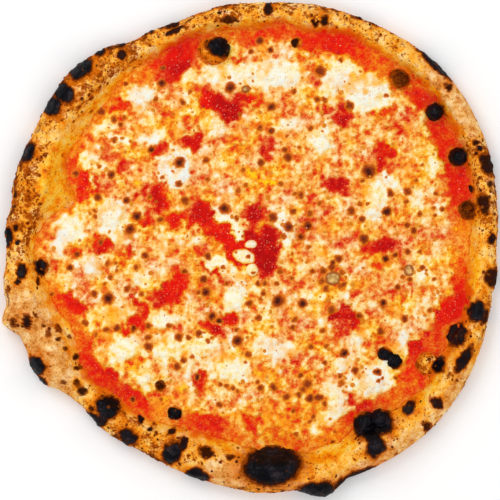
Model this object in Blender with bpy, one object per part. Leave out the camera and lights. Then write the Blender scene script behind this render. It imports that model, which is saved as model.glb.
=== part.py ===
"""A margherita pizza, built in the layers of the real one.

A disc of dough with a puffed, blistered rim holds a thin bed of tomato sauce.
A sheet of melted mozzarella lies on the sauce, open where the sauce shows, and
thicker pools of mozzarella stand on the sheet. Three crumbs of mozzarella lie
in the large opening near the middle.

Lengths are in millimetres and angles in degrees, counted from +X towards +Y.
Meshes are made in metres. The origin is the middle of the underside, +Z up.
"""

import math
from collections import namedtuple

import bmesh
import bpy
from mathutils import Vector, noise

MILLIMETRE = 0.001

# Heights of the layers.
BED = 3.4
GAP = 0.3
SAUCE_DEPTH = 1.3
MELT_DEPTH = 1.3
SAUCE_FLOOR = BED + GAP
SAUCE_TOP = SAUCE_FLOOR + SAUCE_DEPTH
MELT_FLOOR = SAUCE_TOP + GAP
MELT_TOP = MELT_FLOOR + MELT_DEPTH
POOL_FLOOR = MELT_TOP + GAP

# A swell adds its reach to a mean value, and fades out over its spread.
Swell = namedtuple("Swell", "angle spread reach")

# The dough's outer edge.
OUTER_MEAN = 152.3
OUTER_SWELLS = (
    Swell(40, 50, 11.0),
    Swell(75, 18, 1.8),
    Swell(110, 18, -4.8),
    Swell(120, 6, -2.2),
    Swell(136, 16, 3.8),
    Swell(170, 6, -2.0),
    Swell(182, 9, -2.8),
    Swell(188, 14, 2.5),
    Swell(196.8, 4.8, 7.0),
    Swell(208.5, 4.5, 3.0),
    Swell(213, 4, 3.2),
    Swell(222, 9, -3.3),
    Swell(234, 34, -8.2),
    Swell(247, 14, -3.5),
    Swell(261, 15, -4.2),
    Swell(287, 7, 7.0),
    Swell(318, 42, 6.5),
    Swell(354, 5, 1.8),
)

# The line where the rim comes down to the flat bed.
INNER_MEAN = 122.5
INNER_SWELLS = (
    Swell(42, 80, 21.0),
    Swell(66, 8, 3.0),
    Swell(82, 7, 5.0),
    Swell(105, 24, 8.0),
    Swell(125, 13, 5.5),
    Swell(163, 12, -8.0),
    Swell(180, 12, 7.0),
    Swell(205, 12, -5.0),
    Swell(229, 9, -3.0),
    Swell(255, 30, -8.0),
    Swell(287, 7, 4.0),
    Swell(294, 6, 3.0),
    Swell(304, 12, -3.0),
    Swell(325, 45, 11.0),
    Swell(345, 7, 2.5),
)

# The top of the rim: a wide stretch of rim has puffed higher than a narrow one.
CROWN_MEAN = 6.0
CROWN_WIDTH_SHARE = 0.42
CROWN_SWELLS = (
    Swell(32, 30, 1.5),
    Swell(100, 16, 1.5),
    Swell(140, 14, 1.5),
    Swell(196, 14, 1.5),
    Swell(235, 25, -1.0),
    Swell(277, 14, 1.5),
    Swell(304, 14, 1.5),
    Swell(338, 18, 2.0),
)
CROWN_WANDER = 1.2
CROWN_WANDERS_ROUND = 4.0

# The rim's section, from its foot out, up and over to the bed.
RIM_STEPS = 150
WIDEST_HEIGHT = 6.5
SHOULDER_SHARE = 0.46
OUTSIDE_TURNS = (-90, -55, -22, 8, 35, 62, 90)
INSIDE_SHARES = (0.17, 0.35, 0.53, 0.7, 0.86, 1.0)
INSIDE_FALL = 1.25
FIRST_LIFTED_RING = 3
LIFT_RINGS = 3
DENT = 0.7
DENT_LENGTH = 15.0

# A blister swells the rim: its half width runs along the rim, its half depth across it.
BLISTER_EDGE = 1.6
BLISTER_ROUNDNESS = 0.8
Blister = namedtuple("Blister", "angle reach half_width half_depth rise")
RIM_BLISTERS = (
    Blister(23.7, 141.0, 6.5, 5.5, 3.0),
    Blister(36.4, 142.5, 5.0, 5.0, 2.5),
    Blister(48.5, 140.5, 7.5, 6.0, 3.5),
    Blister(133.0, 151.5, 8.0, 5.0, 2.5),
    Blister(144.3, 150.0, 6.0, 5.0, 2.0),
    Blister(156.5, 148.0, 6.5, 4.0, 2.0),
    Blister(164.5, 118.5, 9.0, 8.0, 3.0),
    Blister(208.6, 149.5, 6.3, 4.5, 3.5),
    Blister(228.3, 131.5, 7.3, 6.6, 3.5),
    Blister(237.0, 138.0, 5.5, 5.0, 2.5),
    Blister(249.3, 131.5, 5.5, 8.5, 2.5),
    Blister(276.2, 134.7, 14.0, 12.5, 5.0),
    Blister(284.5, 154.0, 11.0, 5.5, 3.0),
    Blister(302.2, 143.0, 6.5, 7.0, 3.5),
    Blister(314.8, 138.5, 5.0, 4.0, 2.5),
    Blister(329.6, 137.5, 5.0, 5.5, 2.0),
    Blister(337.4, 138.6, 7.3, 6.2, 4.0),
    Blister(344.4, 144.5, 6.5, 5.8, 3.5),
)

# Round bubbles of dough on the bed, some through the toppings and some against the rim.
Bubble = namedtuple("Bubble", "x y half_x half_y rise")
BED_BUBBLES = (
    Bubble(-22.3, 123.0, 10.5, 9.5, 12.0),
    Bubble(135.0, 23.8, 5.2, 6.2, 8.0),
    Bubble(71.8, -108.2, 7.6, 7.4, 10.5),
    Bubble(81.4, -106.6, 6.8, 7.2, 10.0),
    Bubble(110.6, -71.6, 7.6, 7.6, 9.0),
    Bubble(-128.4, -10.8, 4.2, 5.6, 7.0),
    Bubble(-46.4, -101.8, 4.6, 5.2, 5.6),
    Bubble(83.6, -64.8, 5.0, 4.9, 6.6),
    Bubble(90.8, -70.6, 4.9, 5.0, 6.2),
    Bubble(-55.5, -85.3, 4.0, 4.0, 5.0),
    Bubble(29.0, 128.0, 4.0, 4.0, 4.4),
)
BUBBLE_SIDES = 12
BUBBLE_ROOT = 1.4
BUBBLE_TURNS = (24, 50)
BUBBLE_CLEAR = 0.9

# The sheet of melted cheese stops this far inside the bed's edge.
SAUCE_MARGIN = 1.1
MELT_MARGIN = 4.0
MELT_MARGIN_SWELLS = (
    Swell(12, 26, 7.0),
    Swell(62, 36, 5.0),
    Swell(113, 15, 12.0),
    Swell(133, 10, -4.0),
    Swell(147, 14, -4.5),
    Swell(180, 26, -5.0),
    Swell(258, 14, 5.0),
    Swell(327, 26, 8.0),
)
EDGE_WANDER = 1.6
EDGE_WANDER_LENGTH = 9.0

# Openings in the melted cheese: centre, half sizes and turn.
Patch = namedtuple("Patch", "x y half_x half_y turn")
WINDOWS = (
    Patch(-23, 92, 9.5, 6.5, -20),
    Patch(-1, 92.5, 9.5, 4.5, 8),
    Patch(-12, 84, 8, 6, 0),
    Patch(-46, 18, 7, 4.5, 0),
    Patch(-30, 21, 9, 8, 0),
    Patch(-16, 8, 14, 6.5, -28),
    Patch(-2, 0, 14, 12, 0),
    Patch(3, 21, 6, 7, 0),
    Patch(11, -3, 7.5, 18, -8),
    Patch(1.4, -13.4, 7.5, 7, 0),
    Patch(-46, -24, 7.5, 14, -8),
    Patch(-55, -31, 6.5, 4.5, 0),
    Patch(-71, -47, 8, 5, 12),
    Patch(-13, -43.5, 6.5, 4.8, 0),
    Patch(-24, -48, 6.5, 4.5, -15),
    Patch(59, -41.5, 8.5, 5, 0),
    Patch(30, -69.5, 8.5, 4.5, 15),
    Patch(82, 2, 12, 5, 12),
    Patch(83, 60, 5.5, 8.5, 0),
    Patch(58, 81, 6.5, 8, 0),
    Patch(-58, 31, 7, 8.5, 25),
    Patch(-35, 65, 6.5, 6.5, 0),
    Patch(-30, -83, 5.5, 7.5, 0),
    Patch(53, 40, 10.5, 5, -18),
    Patch(-105, 39, 6, 11, 15),
    Patch(-110, -34, 9, 5, -32),
    Patch(-26, -112, 13, 7, -12),
    Patch(1, -110, 5.5, 10, 0),
    Patch(78, -98, 10, 5, -8),
    Patch(-92, 2, 7, 4, -25),
)

# Thicker mozzarella on the sheet: centre, half sizes, turn and rise.
Pool = namedtuple("Pool", "x y half_x half_y turn rise")
POOLS = (
    Pool(-68, 93, 8, 8.5, 0, 1.9),
    Pool(17, 108, 15, 7, -8, 2.2),
    Pool(49, 104, 9, 10, 20, 2.2),
    Pool(74, 98, 9.5, 11, 40, 2.4),
    Pool(-46, 49, 9.5, 10.5, 0, 2.6),
    Pool(-113, 12, 8, 9, 0, 2.2),
    Pool(-85, 22, 9, 9, 0, 2.4),
    Pool(-99, -12, 8.5, 7, 20, 2.2),
    Pool(-74, -18, 8, 5.5, 0, 2.0),
    Pool(-114.5, -19.5, 4.2, 4.4, 0, 1.6),
    Pool(-9, -31, 7.5, 6.5, 30, 2.3),
    Pool(-54, -46.5, 7, 4.5, 5, 1.9),
    Pool(-50, -63, 9, 6, 0, 2.0),
    Pool(-29, -63, 8, 5.5, 0, 2.0),
    Pool(-77, -64, 7.5, 6.5, 0, 1.9),
    Pool(-66, -83, 4.5, 7.5, 0, 1.9),
    Pool(75.5, -83, 9.5, 7.5, 0, 2.6),
    Pool(95.5, -53, 3.8, 6.2, 0, 1.9),
    Pool(54, -98, 7, 6.5, 0, 2.1),
    Pool(15, -56.5, 10.5, 4.8, 8, 2.2),
    Pool(57.5, -71, 5.5, 5, 0, 1.7),
    Pool(24.5, 10, 4.5, 8, 30, 2.0),
    Pool(77, 28, 7.5, 11, 0, 2.2),
    Pool(44, 65, 6.5, 7.5, 0, 2.4),
    Pool(-26, -13, 6.5, 3.6, -22, 1.8),
    Pool(106.5, -20, 5, 6.5, 0, 1.9),
    Pool(66, -56, 4.8, 4.2, 0, 1.7),
    Pool(-12, -77, 8.5, 5.5, 0, 1.9),
    Pool(108, 54, 4.8, 8, 5, 2.0),
    Pool(-98.5, 56.5, 6, 4.6, 20, 1.7),
)
POOL_SIDES = 14
POOL_SHOULDER = 0.82
POOL_SHOULDER_RISE = 0.68

# Crumbs of mozzarella that lie in the middle opening, on the sauce.
CRUMBS = (
    Pool(1.0, 2.6, 3.6, 2.5, 0, 1.5),
    Pool(-3.6, -5.0, 6.2, 3.4, -14, 1.9),
    Pool(1.4, -13.4, 3.9, 3.9, 0, 1.8),
)

# How finely the edges of the sheets are followed.
FIELD_HALF_SPAN = 160.0
FIELD_STEP = 2.5
EDGE_SPACING = 5.5
FEWEST_EDGE_POINTS = 12
SMALLEST_OPENING = 20.0
SHEET_EASE = 0.7

DOUGH_COLOUR = (0.72, 0.36, 0.11, 1.0)
SAUCE_COLOUR = (0.56, 0.015, 0.004, 1.0)
MELT_COLOUR = (0.90, 0.48, 0.16, 1.0)
POOL_COLOUR = (0.93, 0.84, 0.62, 1.0)


def swelled(mean, swells, angle):
    """The mean value plus what each swell adds at an angle."""
    value = mean
    for swell in swells:
        away = abs((angle - swell.angle + 180.0) % 360.0 - 180.0)
        if away < swell.spread:
            value += swell.reach * math.cos(math.pi / 2 * away / swell.spread) ** 2
    return value


def wander(x, y, length, layer):
    """Smooth noise from -1 to 1, its bumps about a length apart."""
    return noise.noise(Vector((x / length, y / length, layer)))


def inner_reach(angle):
    """Distance from the middle to where the rim meets the bed."""
    return swelled(INNER_MEAN, INNER_SWELLS, angle)


def crown_height(angle):
    """Height of the rim's top."""
    turn = math.radians(angle)
    round_x = math.cos(turn) * CROWN_WANDERS_ROUND
    round_y = math.sin(turn) * CROWN_WANDERS_ROUND
    width = swelled(OUTER_MEAN, OUTER_SWELLS, angle) - inner_reach(angle)
    height = swelled(CROWN_MEAN, CROWN_SWELLS, angle) + CROWN_WIDTH_SHARE * width
    return height + CROWN_WANDER * wander(round_x, round_y, 1.0, 3.5)


def blister_rise(x, y):
    """How far the rim's blisters lift the dough at a place."""
    rise = 0.0
    for blister in RIM_BLISTERS:
        turn = math.radians(blister.angle)
        out = x * math.cos(turn) + y * math.sin(turn) - blister.reach
        along = y * math.cos(turn) - x * math.sin(turn)
        away = (out / blister.half_depth) ** 2 + (along / blister.half_width) ** 2
        if away < BLISTER_EDGE:
            rise = max(rise, blister.rise * (1.0 - away / BLISTER_EDGE) ** BLISTER_ROUNDNESS)
    return rise


def rim_section(angle):
    """Points (reach, height) of the rim, from its foot outside to the edge of the bed."""
    outer = swelled(OUTER_MEAN, OUTER_SWELLS, angle)
    inner = inner_reach(angle)
    crown = crown_height(angle)
    shoulder = SHOULDER_SHARE * (outer - inner)
    top_reach = outer - shoulder
    points = []
    for turn in OUTSIDE_TURNS:
        up = math.sin(math.radians(turn))
        height = WIDEST_HEIGHT * (1.0 + up)
        if up > 0.0:
            height = WIDEST_HEIGHT + (crown - WIDEST_HEIGHT) * up
        points.append((top_reach + shoulder * math.cos(math.radians(turn)), height))
    for share in INSIDE_SHARES:
        fall = (0.5 + 0.5 * math.cos(math.pi * share)) ** INSIDE_FALL
        points.append((top_reach + (inner - top_reach) * share, BED + (crown - BED) * fall))
    return points


def rim_point(reach, height, angle, ring):
    """A point of the rim in space, with its blisters and dents."""
    turn = math.radians(angle)
    x = reach * math.cos(turn)
    y = reach * math.sin(turn)
    last = len(OUTSIDE_TURNS) + len(INSIDE_SHARES) - 1
    if ring in (0, last):
        return x, y, height
    lift = min(max((ring - FIRST_LIFTED_RING + 1) / LIFT_RINGS, 0.0), 1.0)
    dent = DENT * noise.noise(Vector((x, y, height)) / DENT_LENGTH)
    return x, y, height + lift * (blister_rise(x, y) + dent)


def ellipse_reach(x, y, shape):
    """About how far a place lies inside an ellipse, negative outside."""
    turn = math.radians(getattr(shape, "turn", 0))
    along = (x - shape.x) * math.cos(turn) + (y - shape.y) * math.sin(turn)
    across = (y - shape.y) * math.cos(turn) - (x - shape.x) * math.sin(turn)
    away = math.hypot(along / shape.half_x, across / shape.half_y)
    return (1.0 - away) * min(shape.half_x, shape.half_y)


def bed_reach(x, y):
    """How far a place lies inside the bed's edge and clear of its bubbles."""
    angle = math.degrees(math.atan2(y, x))
    clear = inner_reach(angle) - SAUCE_MARGIN - math.hypot(x, y)
    for bubble in BED_BUBBLES:
        clear = min(clear, -ellipse_reach(x, y, bubble) - BUBBLE_CLEAR)
    return clear


def melt_reach(x, y):
    """How far a place lies inside the sheet of melted cheese."""
    angle = math.degrees(math.atan2(y, x))
    margin = swelled(MELT_MARGIN, MELT_MARGIN_SWELLS, angle)
    clear = inner_reach(angle) - margin - math.hypot(x, y)
    for window in WINDOWS:
        clear = min(clear, -ellipse_reach(x, y, window))
    clear += EDGE_WANDER * wander(x, y, EDGE_WANDER_LENGTH, 7.5)
    return min(clear, bed_reach(x, y) - GAP)


def edge_loops(field):
    """Closed loops along a field's zero line, with the inside on the left."""
    count = int(2 * FIELD_HALF_SPAN / FIELD_STEP) + 1
    axis = [index * FIELD_STEP - FIELD_HALF_SPAN for index in range(count)]
    value = [[field(x, y) for x in axis] for y in axis]
    following = {}
    for row in range(count - 1):
        for column in range(count - 1):
            corners = ((row, column), (row, column + 1), (row + 1, column + 1), (row + 1, column))
            inside = [value[r][c] > 0.0 for r, c in corners]
            for side in range(4):
                if not inside[side] or inside[(side + 1) % 4]:
                    continue
                other = (side + 1) % 4
                while inside[other] or not inside[(other + 1) % 4]:
                    other = (other + 1) % 4
                start = frozenset((corners[side], corners[(side + 1) % 4]))
                end = frozenset((corners[other], corners[(other + 1) % 4]))
                following[start] = end
    loops = []
    while following:
        start, edge = next(iter(following.items()))
        loop = []
        while start in following:
            edge = following.pop(start)
            loop.append(zero_point(axis, value, start))
            start = edge
        loops.append(loop)
    return loops


def zero_point(axis, value, edge):
    """Where a field is zero between two neighbouring places of its grid."""
    (row_a, column_a), (row_b, column_b) = sorted(edge)
    low = value[row_a][column_a]
    high = value[row_b][column_b]
    share = low / (low - high)
    x = axis[column_a] + (axis[column_b] - axis[column_a]) * share
    y = axis[row_a] + (axis[row_b] - axis[row_a]) * share
    return Vector((x, y))


def even_loop(loop, spacing):
    """The same loop with its points an even distance apart."""
    lengths = [(loop[(i + 1) % len(loop)] - loop[i]).length for i in range(len(loop))]
    count = max(FEWEST_EDGE_POINTS, round(sum(lengths) / spacing))
    step = sum(lengths) / count
    points = []
    index = 0
    walked = 0.0
    for number in range(count):
        target = number * step
        while walked + lengths[index] < target:
            walked += lengths[index]
            index += 1
        share = (target - walked) / max(lengths[index], 1e-9)
        points.append(loop[index].lerp(loop[(index + 1) % len(loop)], share))
    return points


def loop_length(loop):
    """Length of a closed loop."""
    return sum((loop[i - 1] - loop[i]).length for i in range(len(loop)))


def surface(name, colour, roughness):
    """A plain material for one kind of food."""
    material = bpy.data.materials.new(name)
    material.use_nodes = True
    shader = material.node_tree.nodes["Principled BSDF"]
    shader.inputs["Base Color"].default_value = colour
    shader.inputs["Roughness"].default_value = roughness
    shader.inputs["Metallic"].default_value = 0.0
    return material


def object_from(name, work, material):
    """Turn a bmesh in millimetres into an object in metres."""
    bmesh.ops.recalc_face_normals(work, faces=work.faces)
    bmesh.ops.scale(work, vec=(MILLIMETRE,) * 3, verts=work.verts)
    mesh = bpy.data.meshes.new(name)
    work.to_mesh(mesh)
    work.free()
    mesh.shade_smooth()
    mesh.set_sharp_from_angle(angle=math.radians(40))
    made = bpy.data.objects.new(name, mesh)
    made.data.materials.append(material)
    bpy.context.scene.collection.objects.link(made)
    return made


def stacked_body(name, rings, peak, material):
    """A closed body from rings of points, with a flat floor and a peak."""
    work = bmesh.new()
    layers = [[work.verts.new(point) for point in ring] for ring in rings]
    top = work.verts.new(peak)
    sides = len(layers[0])
    for lower, upper in zip(layers, layers[1:]):
        for index in range(sides):
            after = (index + 1) % sides
            work.faces.new((lower[index], lower[after], upper[after], upper[index]))
    for index in range(sides):
        work.faces.new((layers[-1][index], layers[-1][(index + 1) % sides], top))
    work.faces.new(reversed(layers[0]))
    return object_from(name, work, material)


def pool_body(name, pool, floor, material):
    """A lobed low dome of mozzarella."""
    turn = math.radians(pool.turn)
    sway = wander(pool.x, pool.y, 10.0, 1.5) * math.pi
    rings = []
    for share, height in ((1.0, 0.0), (POOL_SHOULDER, POOL_SHOULDER_RISE * pool.rise)):
        ring = []
        for index in range(POOL_SIDES):
            around = 2 * math.pi * index / POOL_SIDES
            lobe = 1.0 + 0.08 * math.sin(2 * around + sway) + 0.06 * math.sin(3 * around - sway)
            along = pool.half_x * share * lobe * math.cos(around)
            across = pool.half_y * share * lobe * math.sin(around)
            x = pool.x + along * math.cos(turn) - across * math.sin(turn)
            y = pool.y + along * math.sin(turn) + across * math.cos(turn)
            ring.append((x, y, floor + height))
        rings.append(ring)
    return stacked_body(name, rings, (pool.x, pool.y, floor + pool.rise), material)


def bubble_body(name, bubble, material):
    """A dome of dough whose root goes down into the bed."""
    levels = [(1.0, BED - BUBBLE_ROOT), (1.0, BED)]
    for turn in BUBBLE_TURNS:
        up = math.radians(turn)
        levels.append((math.cos(up), BED + bubble.rise * math.sin(up)))
    rings = []
    for share, height in levels:
        ring = []
        for index in range(BUBBLE_SIDES):
            around = 2 * math.pi * index / BUBBLE_SIDES
            x = bubble.x + bubble.half_x * share * math.cos(around)
            y = bubble.y + bubble.half_y * share * math.sin(around)
            ring.append((x, y, height))
        rings.append(ring)
    peak = (bubble.x, bubble.y, BED + bubble.rise)
    return stacked_body(name, rings, peak, material)


def sheet_body(name, field, floor, top, ease, material):
    """A flat sheet inside a field's zero line, its upper edge drawn in by an ease."""
    work = bmesh.new()
    floor_edges = []
    top_edges = []
    for loop in edge_loops(field):
        if loop_length(loop) < SMALLEST_OPENING:
            continue
        points = even_loop(loop, EDGE_SPACING)
        low = [work.verts.new((point.x, point.y, floor)) for point in points]
        high = []
        for index, point in enumerate(points):
            ahead = points[(index + 1) % len(points)] - points[index - 1]
            inward = Vector((-ahead.y, ahead.x)).normalized() * ease
            high.append(work.verts.new((point.x + inward.x, point.y + inward.y, top)))
        for index in range(len(points)):
            after = (index + 1) % len(points)
            work.faces.new((low[index], low[after], high[after], high[index]))
            floor_edges.append(work.edges.get((low[index], low[after])))
            top_edges.append(work.edges.get((high[index], high[after])))
    bmesh.ops.triangle_fill(work, use_beauty=True, edges=floor_edges, normal=(0, 0, -1))
    bmesh.ops.triangle_fill(work, use_beauty=True, edges=top_edges, normal=(0, 0, 1))
    return object_from(name, work, material)


def crust_body(material):
    """The dough: a flat bed inside a puffed rim, with its bubbles joined on."""
    work = bmesh.new()
    rows = []
    for step in range(RIM_STEPS):
        angle = 360.0 * step / RIM_STEPS
        row = []
        for ring, (reach, height) in enumerate(rim_section(angle)):
            row.append(work.verts.new(rim_point(reach, height, angle, ring)))
        rows.append(row)
    for index, row in enumerate(rows):
        after = rows[(index + 1) % RIM_STEPS]
        for ring in range(len(row) - 1):
            work.faces.new((row[ring], after[ring], after[ring + 1], row[ring + 1]))
    work.faces.new([row[0] for row in reversed(rows)])
    work.faces.new([row[-1] for row in rows])
    crust = object_from("crust", work, material)
    for number, bubble in enumerate(BED_BUBBLES, start=1):
        dome = bubble_body(f"bubble_guide_{number:02d}", bubble, material)
        dome.hide_render = True
        dome.display_type = "WIRE"
        dome.hide_set(True)
        union = crust.modifiers.new(f"bubble_{number:02d}", "BOOLEAN")
        union.operation = "UNION"
        union.solver = "EXACT"
        union.object = dome
    return crust


def build():
    """Make every layer, from the dough up."""
    for old in list(bpy.data.objects):
        bpy.data.objects.remove(old, do_unlink=True)
    dough = surface("baked_dough", DOUGH_COLOUR, 0.75)
    sauce = surface("tomato_sauce", SAUCE_COLOUR, 0.3)
    melt = surface("melted_mozzarella", MELT_COLOUR, 0.4)
    white = surface("mozzarella", POOL_COLOUR, 0.4)
    crust_body(dough)
    sheet_body("tomato_sauce", bed_reach, SAUCE_FLOOR, SAUCE_TOP, GAP, sauce)
    sheet_body("mozzarella_melt", melt_reach, MELT_FLOOR, MELT_TOP, SHEET_EASE, melt)
    for number, pool in enumerate(POOLS, start=1):
        pool_body(f"mozzarella_pool_{number:02d}", pool, POOL_FLOOR, white)
    for number, crumb in enumerate(CRUMBS, start=1):
        pool_body(f"mozzarella_crumb_{number:02d}", crumb, MELT_FLOOR, white)


build()
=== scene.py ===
"""The looks of a margherita pizza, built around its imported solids.

A high-resolution crust, a bed of tomato sauce, a sheet of melted mozzarella and
thirty-three thicker pools and crumbs replace the plain solids. What lies where on
the topping comes from one set of fields of place: how much cheese, oil and
browning there is. Every layer of the topping reads the same fields, so colours run
on from one layer to the next.

Lengths are in millimetres and angles in degrees, counted from +X towards +Y.
Meshes and shaders are in metres. The origin is the middle of the underside, +Z up.
"""

import logging
import math
from collections.abc import Callable, Iterator, Sequence
from dataclasses import dataclass
from enum import Enum
from typing import NamedTuple

import bmesh
import bpy
import numpy as np
from mathutils import Matrix, Vector, noise


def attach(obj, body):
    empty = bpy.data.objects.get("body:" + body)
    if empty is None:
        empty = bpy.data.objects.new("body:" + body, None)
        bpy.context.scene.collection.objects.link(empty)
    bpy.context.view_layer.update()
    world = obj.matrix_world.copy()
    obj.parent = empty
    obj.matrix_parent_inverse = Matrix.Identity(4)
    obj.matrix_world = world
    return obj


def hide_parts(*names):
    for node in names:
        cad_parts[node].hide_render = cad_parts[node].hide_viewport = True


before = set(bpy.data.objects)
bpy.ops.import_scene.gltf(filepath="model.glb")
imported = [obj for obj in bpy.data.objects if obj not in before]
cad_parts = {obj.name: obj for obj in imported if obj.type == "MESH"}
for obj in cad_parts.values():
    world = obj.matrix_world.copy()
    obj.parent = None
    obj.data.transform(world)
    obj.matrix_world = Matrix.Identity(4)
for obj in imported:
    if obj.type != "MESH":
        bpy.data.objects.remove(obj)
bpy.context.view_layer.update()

log = logging.getLogger("margherita")

MILLIMETRE = 0.001
BODY = "root"

Colour = tuple[float, float, float, float]
Screen = tuple[int, int, int]
Field = np.ndarray
Swells = tuple[tuple[float, float, float], ...]
Coat = tuple[float, float, float, Colour]
HALF = (0.5, 0.5, 0.5)


class Oval(NamedTuple):
    """An oval on the plan: a mark on a field, or the outline of a small piece.

    Attributes:
        x: its middle along X.
        y: its middle along Y.
        half_x: half its size along X, before it is turned.
        half_y: half its size along Y, before it is turned.
        worth: strength of a mark, or rise of a piece.
        turn: how far it is turned.
    """

    x: float
    y: float
    half_x: float
    half_y: float
    worth: float = 1.0
    turn: float = 0.0

    def depth(self, x: Field, y: Field) -> Field:
        """About how far places lie inside the oval, negative outside."""
        turn = math.radians(self.turn)
        along = (x - self.x) * math.cos(turn) + (y - self.y) * math.sin(turn)
        across = (y - self.y) * math.cos(turn) - (x - self.x) * math.sin(turn)
        return (1.0 - np.hypot(along / self.half_x, across / self.half_y)) * min(self.half_x, self.half_y)

    def near(self, x: Field, y: Field, soft: float) -> Field:
        """Numbers of the places that a mark with a soft edge can reach."""
        span = max(self.half_x, self.half_y) * (1.0 + soft / min(self.half_x, self.half_y))
        return np.flatnonzero((np.abs(x - self.x) < span) & (np.abs(y - self.y) < span))


class Line(NamedTuple):
    """A line of straight runs on the plan.

    Attributes:
        half_width: half its width.
        worth: its strength.
        points: the points that it runs through.
    """

    half_width: float
    worth: float
    points: tuple[tuple[float, float], ...]

    def depth(self, x: Field, y: Field) -> Field:
        """How far places lie inside the line, negative outside."""
        nearest = np.full(x.shape, 1e9)
        for (x0, y0), (x1, y1) in zip(self.points, self.points[1:]):
            run_x = x1 - x0
            run_y = y1 - y0
            share = np.clip(((x - x0) * run_x + (y - y0) * run_y) / (run_x ** 2 + run_y ** 2), 0.0, 1.0)
            nearest = np.minimum(nearest, np.hypot(x - x0 - run_x * share, y - y0 - run_y * share))
        return self.half_width - nearest

    def near(self, x: Field, y: Field, soft: float) -> Field:
        """Numbers of the places that a mark with a soft edge can reach."""
        ends = np.array(self.points, float)
        middle = (ends.min(0) + ends.max(0)) / 2
        span = float((ends.max(0) - ends.min(0)).max()) / 2 + self.half_width + soft
        return np.flatnonzero((np.abs(x - middle[0]) < span) & (np.abs(y - middle[1]) < span))


def ovals(*marks: tuple[float, ...]) -> tuple[Oval, ...]:
    """Name the numbers of a table of ovals."""
    return tuple(Oval(*mark) for mark in marks)


def lines(*marks: tuple) -> tuple[Line, ...]:
    """Name the numbers of a table of lines."""
    return tuple(Line(*mark) for mark in marks)


# Heights of the layers.
BED = 3.4
SAUCE_FLOOR = 3.7
SAUCE_TOP = 5.0
MELT_FLOOR = 4.1

# The dough's outer edge, its inner edge and the top of its rim: (angle, spread, reach).
OUTER_MEAN = 152.3
OUTER_SWELLS: Swells = (
    (40, 50, 11), (75, 18, 1.8), (110, 18, -4.8), (120, 6, -2.2), (136, 16, 3.8), (170, 6, -2),
    (182, 9, -2.8), (188, 14, 2.5), (196.8, 4.8, 7), (208.5, 4.5, 3), (213, 4, 3.2), (222, 9, -3.3),
    (234, 34, -8.2), (247, 14, -3.5), (261, 15, -4.2), (287, 7, 7), (318, 42, 6.5), (354, 5, 1.8),
)
INNER_MEAN = 122.5
INNER_SWELLS: Swells = (
    (42, 80, 21), (66, 8, 3), (82, 7, 5), (105, 24, 8), (125, 13, 5.5), (163, 12, -8), (180, 12, 7),
    (205, 12, -5), (229, 9, -3), (255, 30, -8), (287, 7, 4), (294, 6, 3), (304, 12, -3), (325, 45, 11),
    (345, 7, 2.5),
)
CROWN_MEAN = 6.0
CROWN_WIDTH_SHARE = 0.42
CROWN_SWELLS: Swells = (
    (32, 30, 1.5), (100, 16, 1.5), (140, 14, 1.5), (196, 14, 1.5), (235, 25, -1), (277, 14, 1.5),
    (304, 14, 1.5), (338, 18, 2),
)

# The cheese stops this far inside the rim.
CHEESE_MARGIN = 4.0
CHEESE_MARGIN_SWELLS: Swells = (
    (12, 26, 7), (29, 15, 4), (62, 36, 5), (113, 15, 12), (133, 10, -4), (147, 14, -4.5), (180, 26, -5),
    (258, 14, 5), (327, 26, 8),
)

# How red the bare film of sauce is along the rim: (angle, spread, reach).
EDGE_RED = 0.12
EDGE_RED_SWELLS: Swells = (
    (111, 13, .9), (88, 12, .5), (68, 22, .75), (40, 16, .7), (20, 20, .75), (345, 16, .9), (328, 10, .6),
    (318, 8, .35), (304, 12, .6), (283, 8, .25), (256, 14, .65), (218, 16, .75), (233, 12, .6),
    (197, 7, .5), (157, 9, .5),
)

# Blisters of the rim: angle, reach, half width along the rim, half depth across it, rise.
RIM_BLISTERS = (
    (23.7, 141, 6.5, 5.5, 3), (36.4, 142.5, 5, 5, 2.5), (48.5, 140.5, 7.5, 6, 3.5), (133, 151.5, 8, 5, 2.5),
    (144.3, 150, 6, 5, 2), (156.5, 148, 6.5, 4, 2), (164.5, 118.5, 9, 8, 3), (208.6, 149.5, 6.3, 4.5, 3.5),
    (228.3, 131.5, 7.3, 6.6, 3.5), (237, 138, 5.5, 5, 2.5), (249.3, 131.5, 5.5, 8.5, 2.5),
    (276.2, 134.7, 14, 12.5, 5), (284.5, 154, 11, 5.5, 3), (302.2, 143, 6.5, 7, 3.5),
    (314.8, 138.5, 5, 4, 2.5), (329.6, 137.5, 5, 5.5, 2), (337.4, 138.6, 7.3, 6.2, 4),
    (344.4, 144.5, 6.5, 5.8, 3.5),
)

# Round bubbles of dough on the bed: x, y, half sizes, rise.
BED_BUBBLES = (
    (-22.3, 123, 10.5, 9.5, 12), (135, 23.8, 5.2, 6.2, 8), (71.8, -108.2, 7.6, 7.4, 10.5),
    (81.4, -106.6, 6.8, 7.2, 10), (110.6, -71.6, 7.6, 7.6, 9), (-128.4, -10.8, 4.2, 5.6, 7),
    (-46.4, -101.8, 4.6, 5.2, 5.6), (84.2, -65.3, 5.3, 5.1, 6.6), (90.3, -70.2, 5.2, 5.2, 6.2),
    (-55.5, -85.3, 4.2, 4.2, 6.2), (29, 128, 4, 4, 4.8), (129.1, 56.7, 5.7, 5.9, 12.5),
    (114.9, 84.6, 5.3, 5.4, 12), (93, 105.6, 6.4, 6, 11.5),
)

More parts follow.
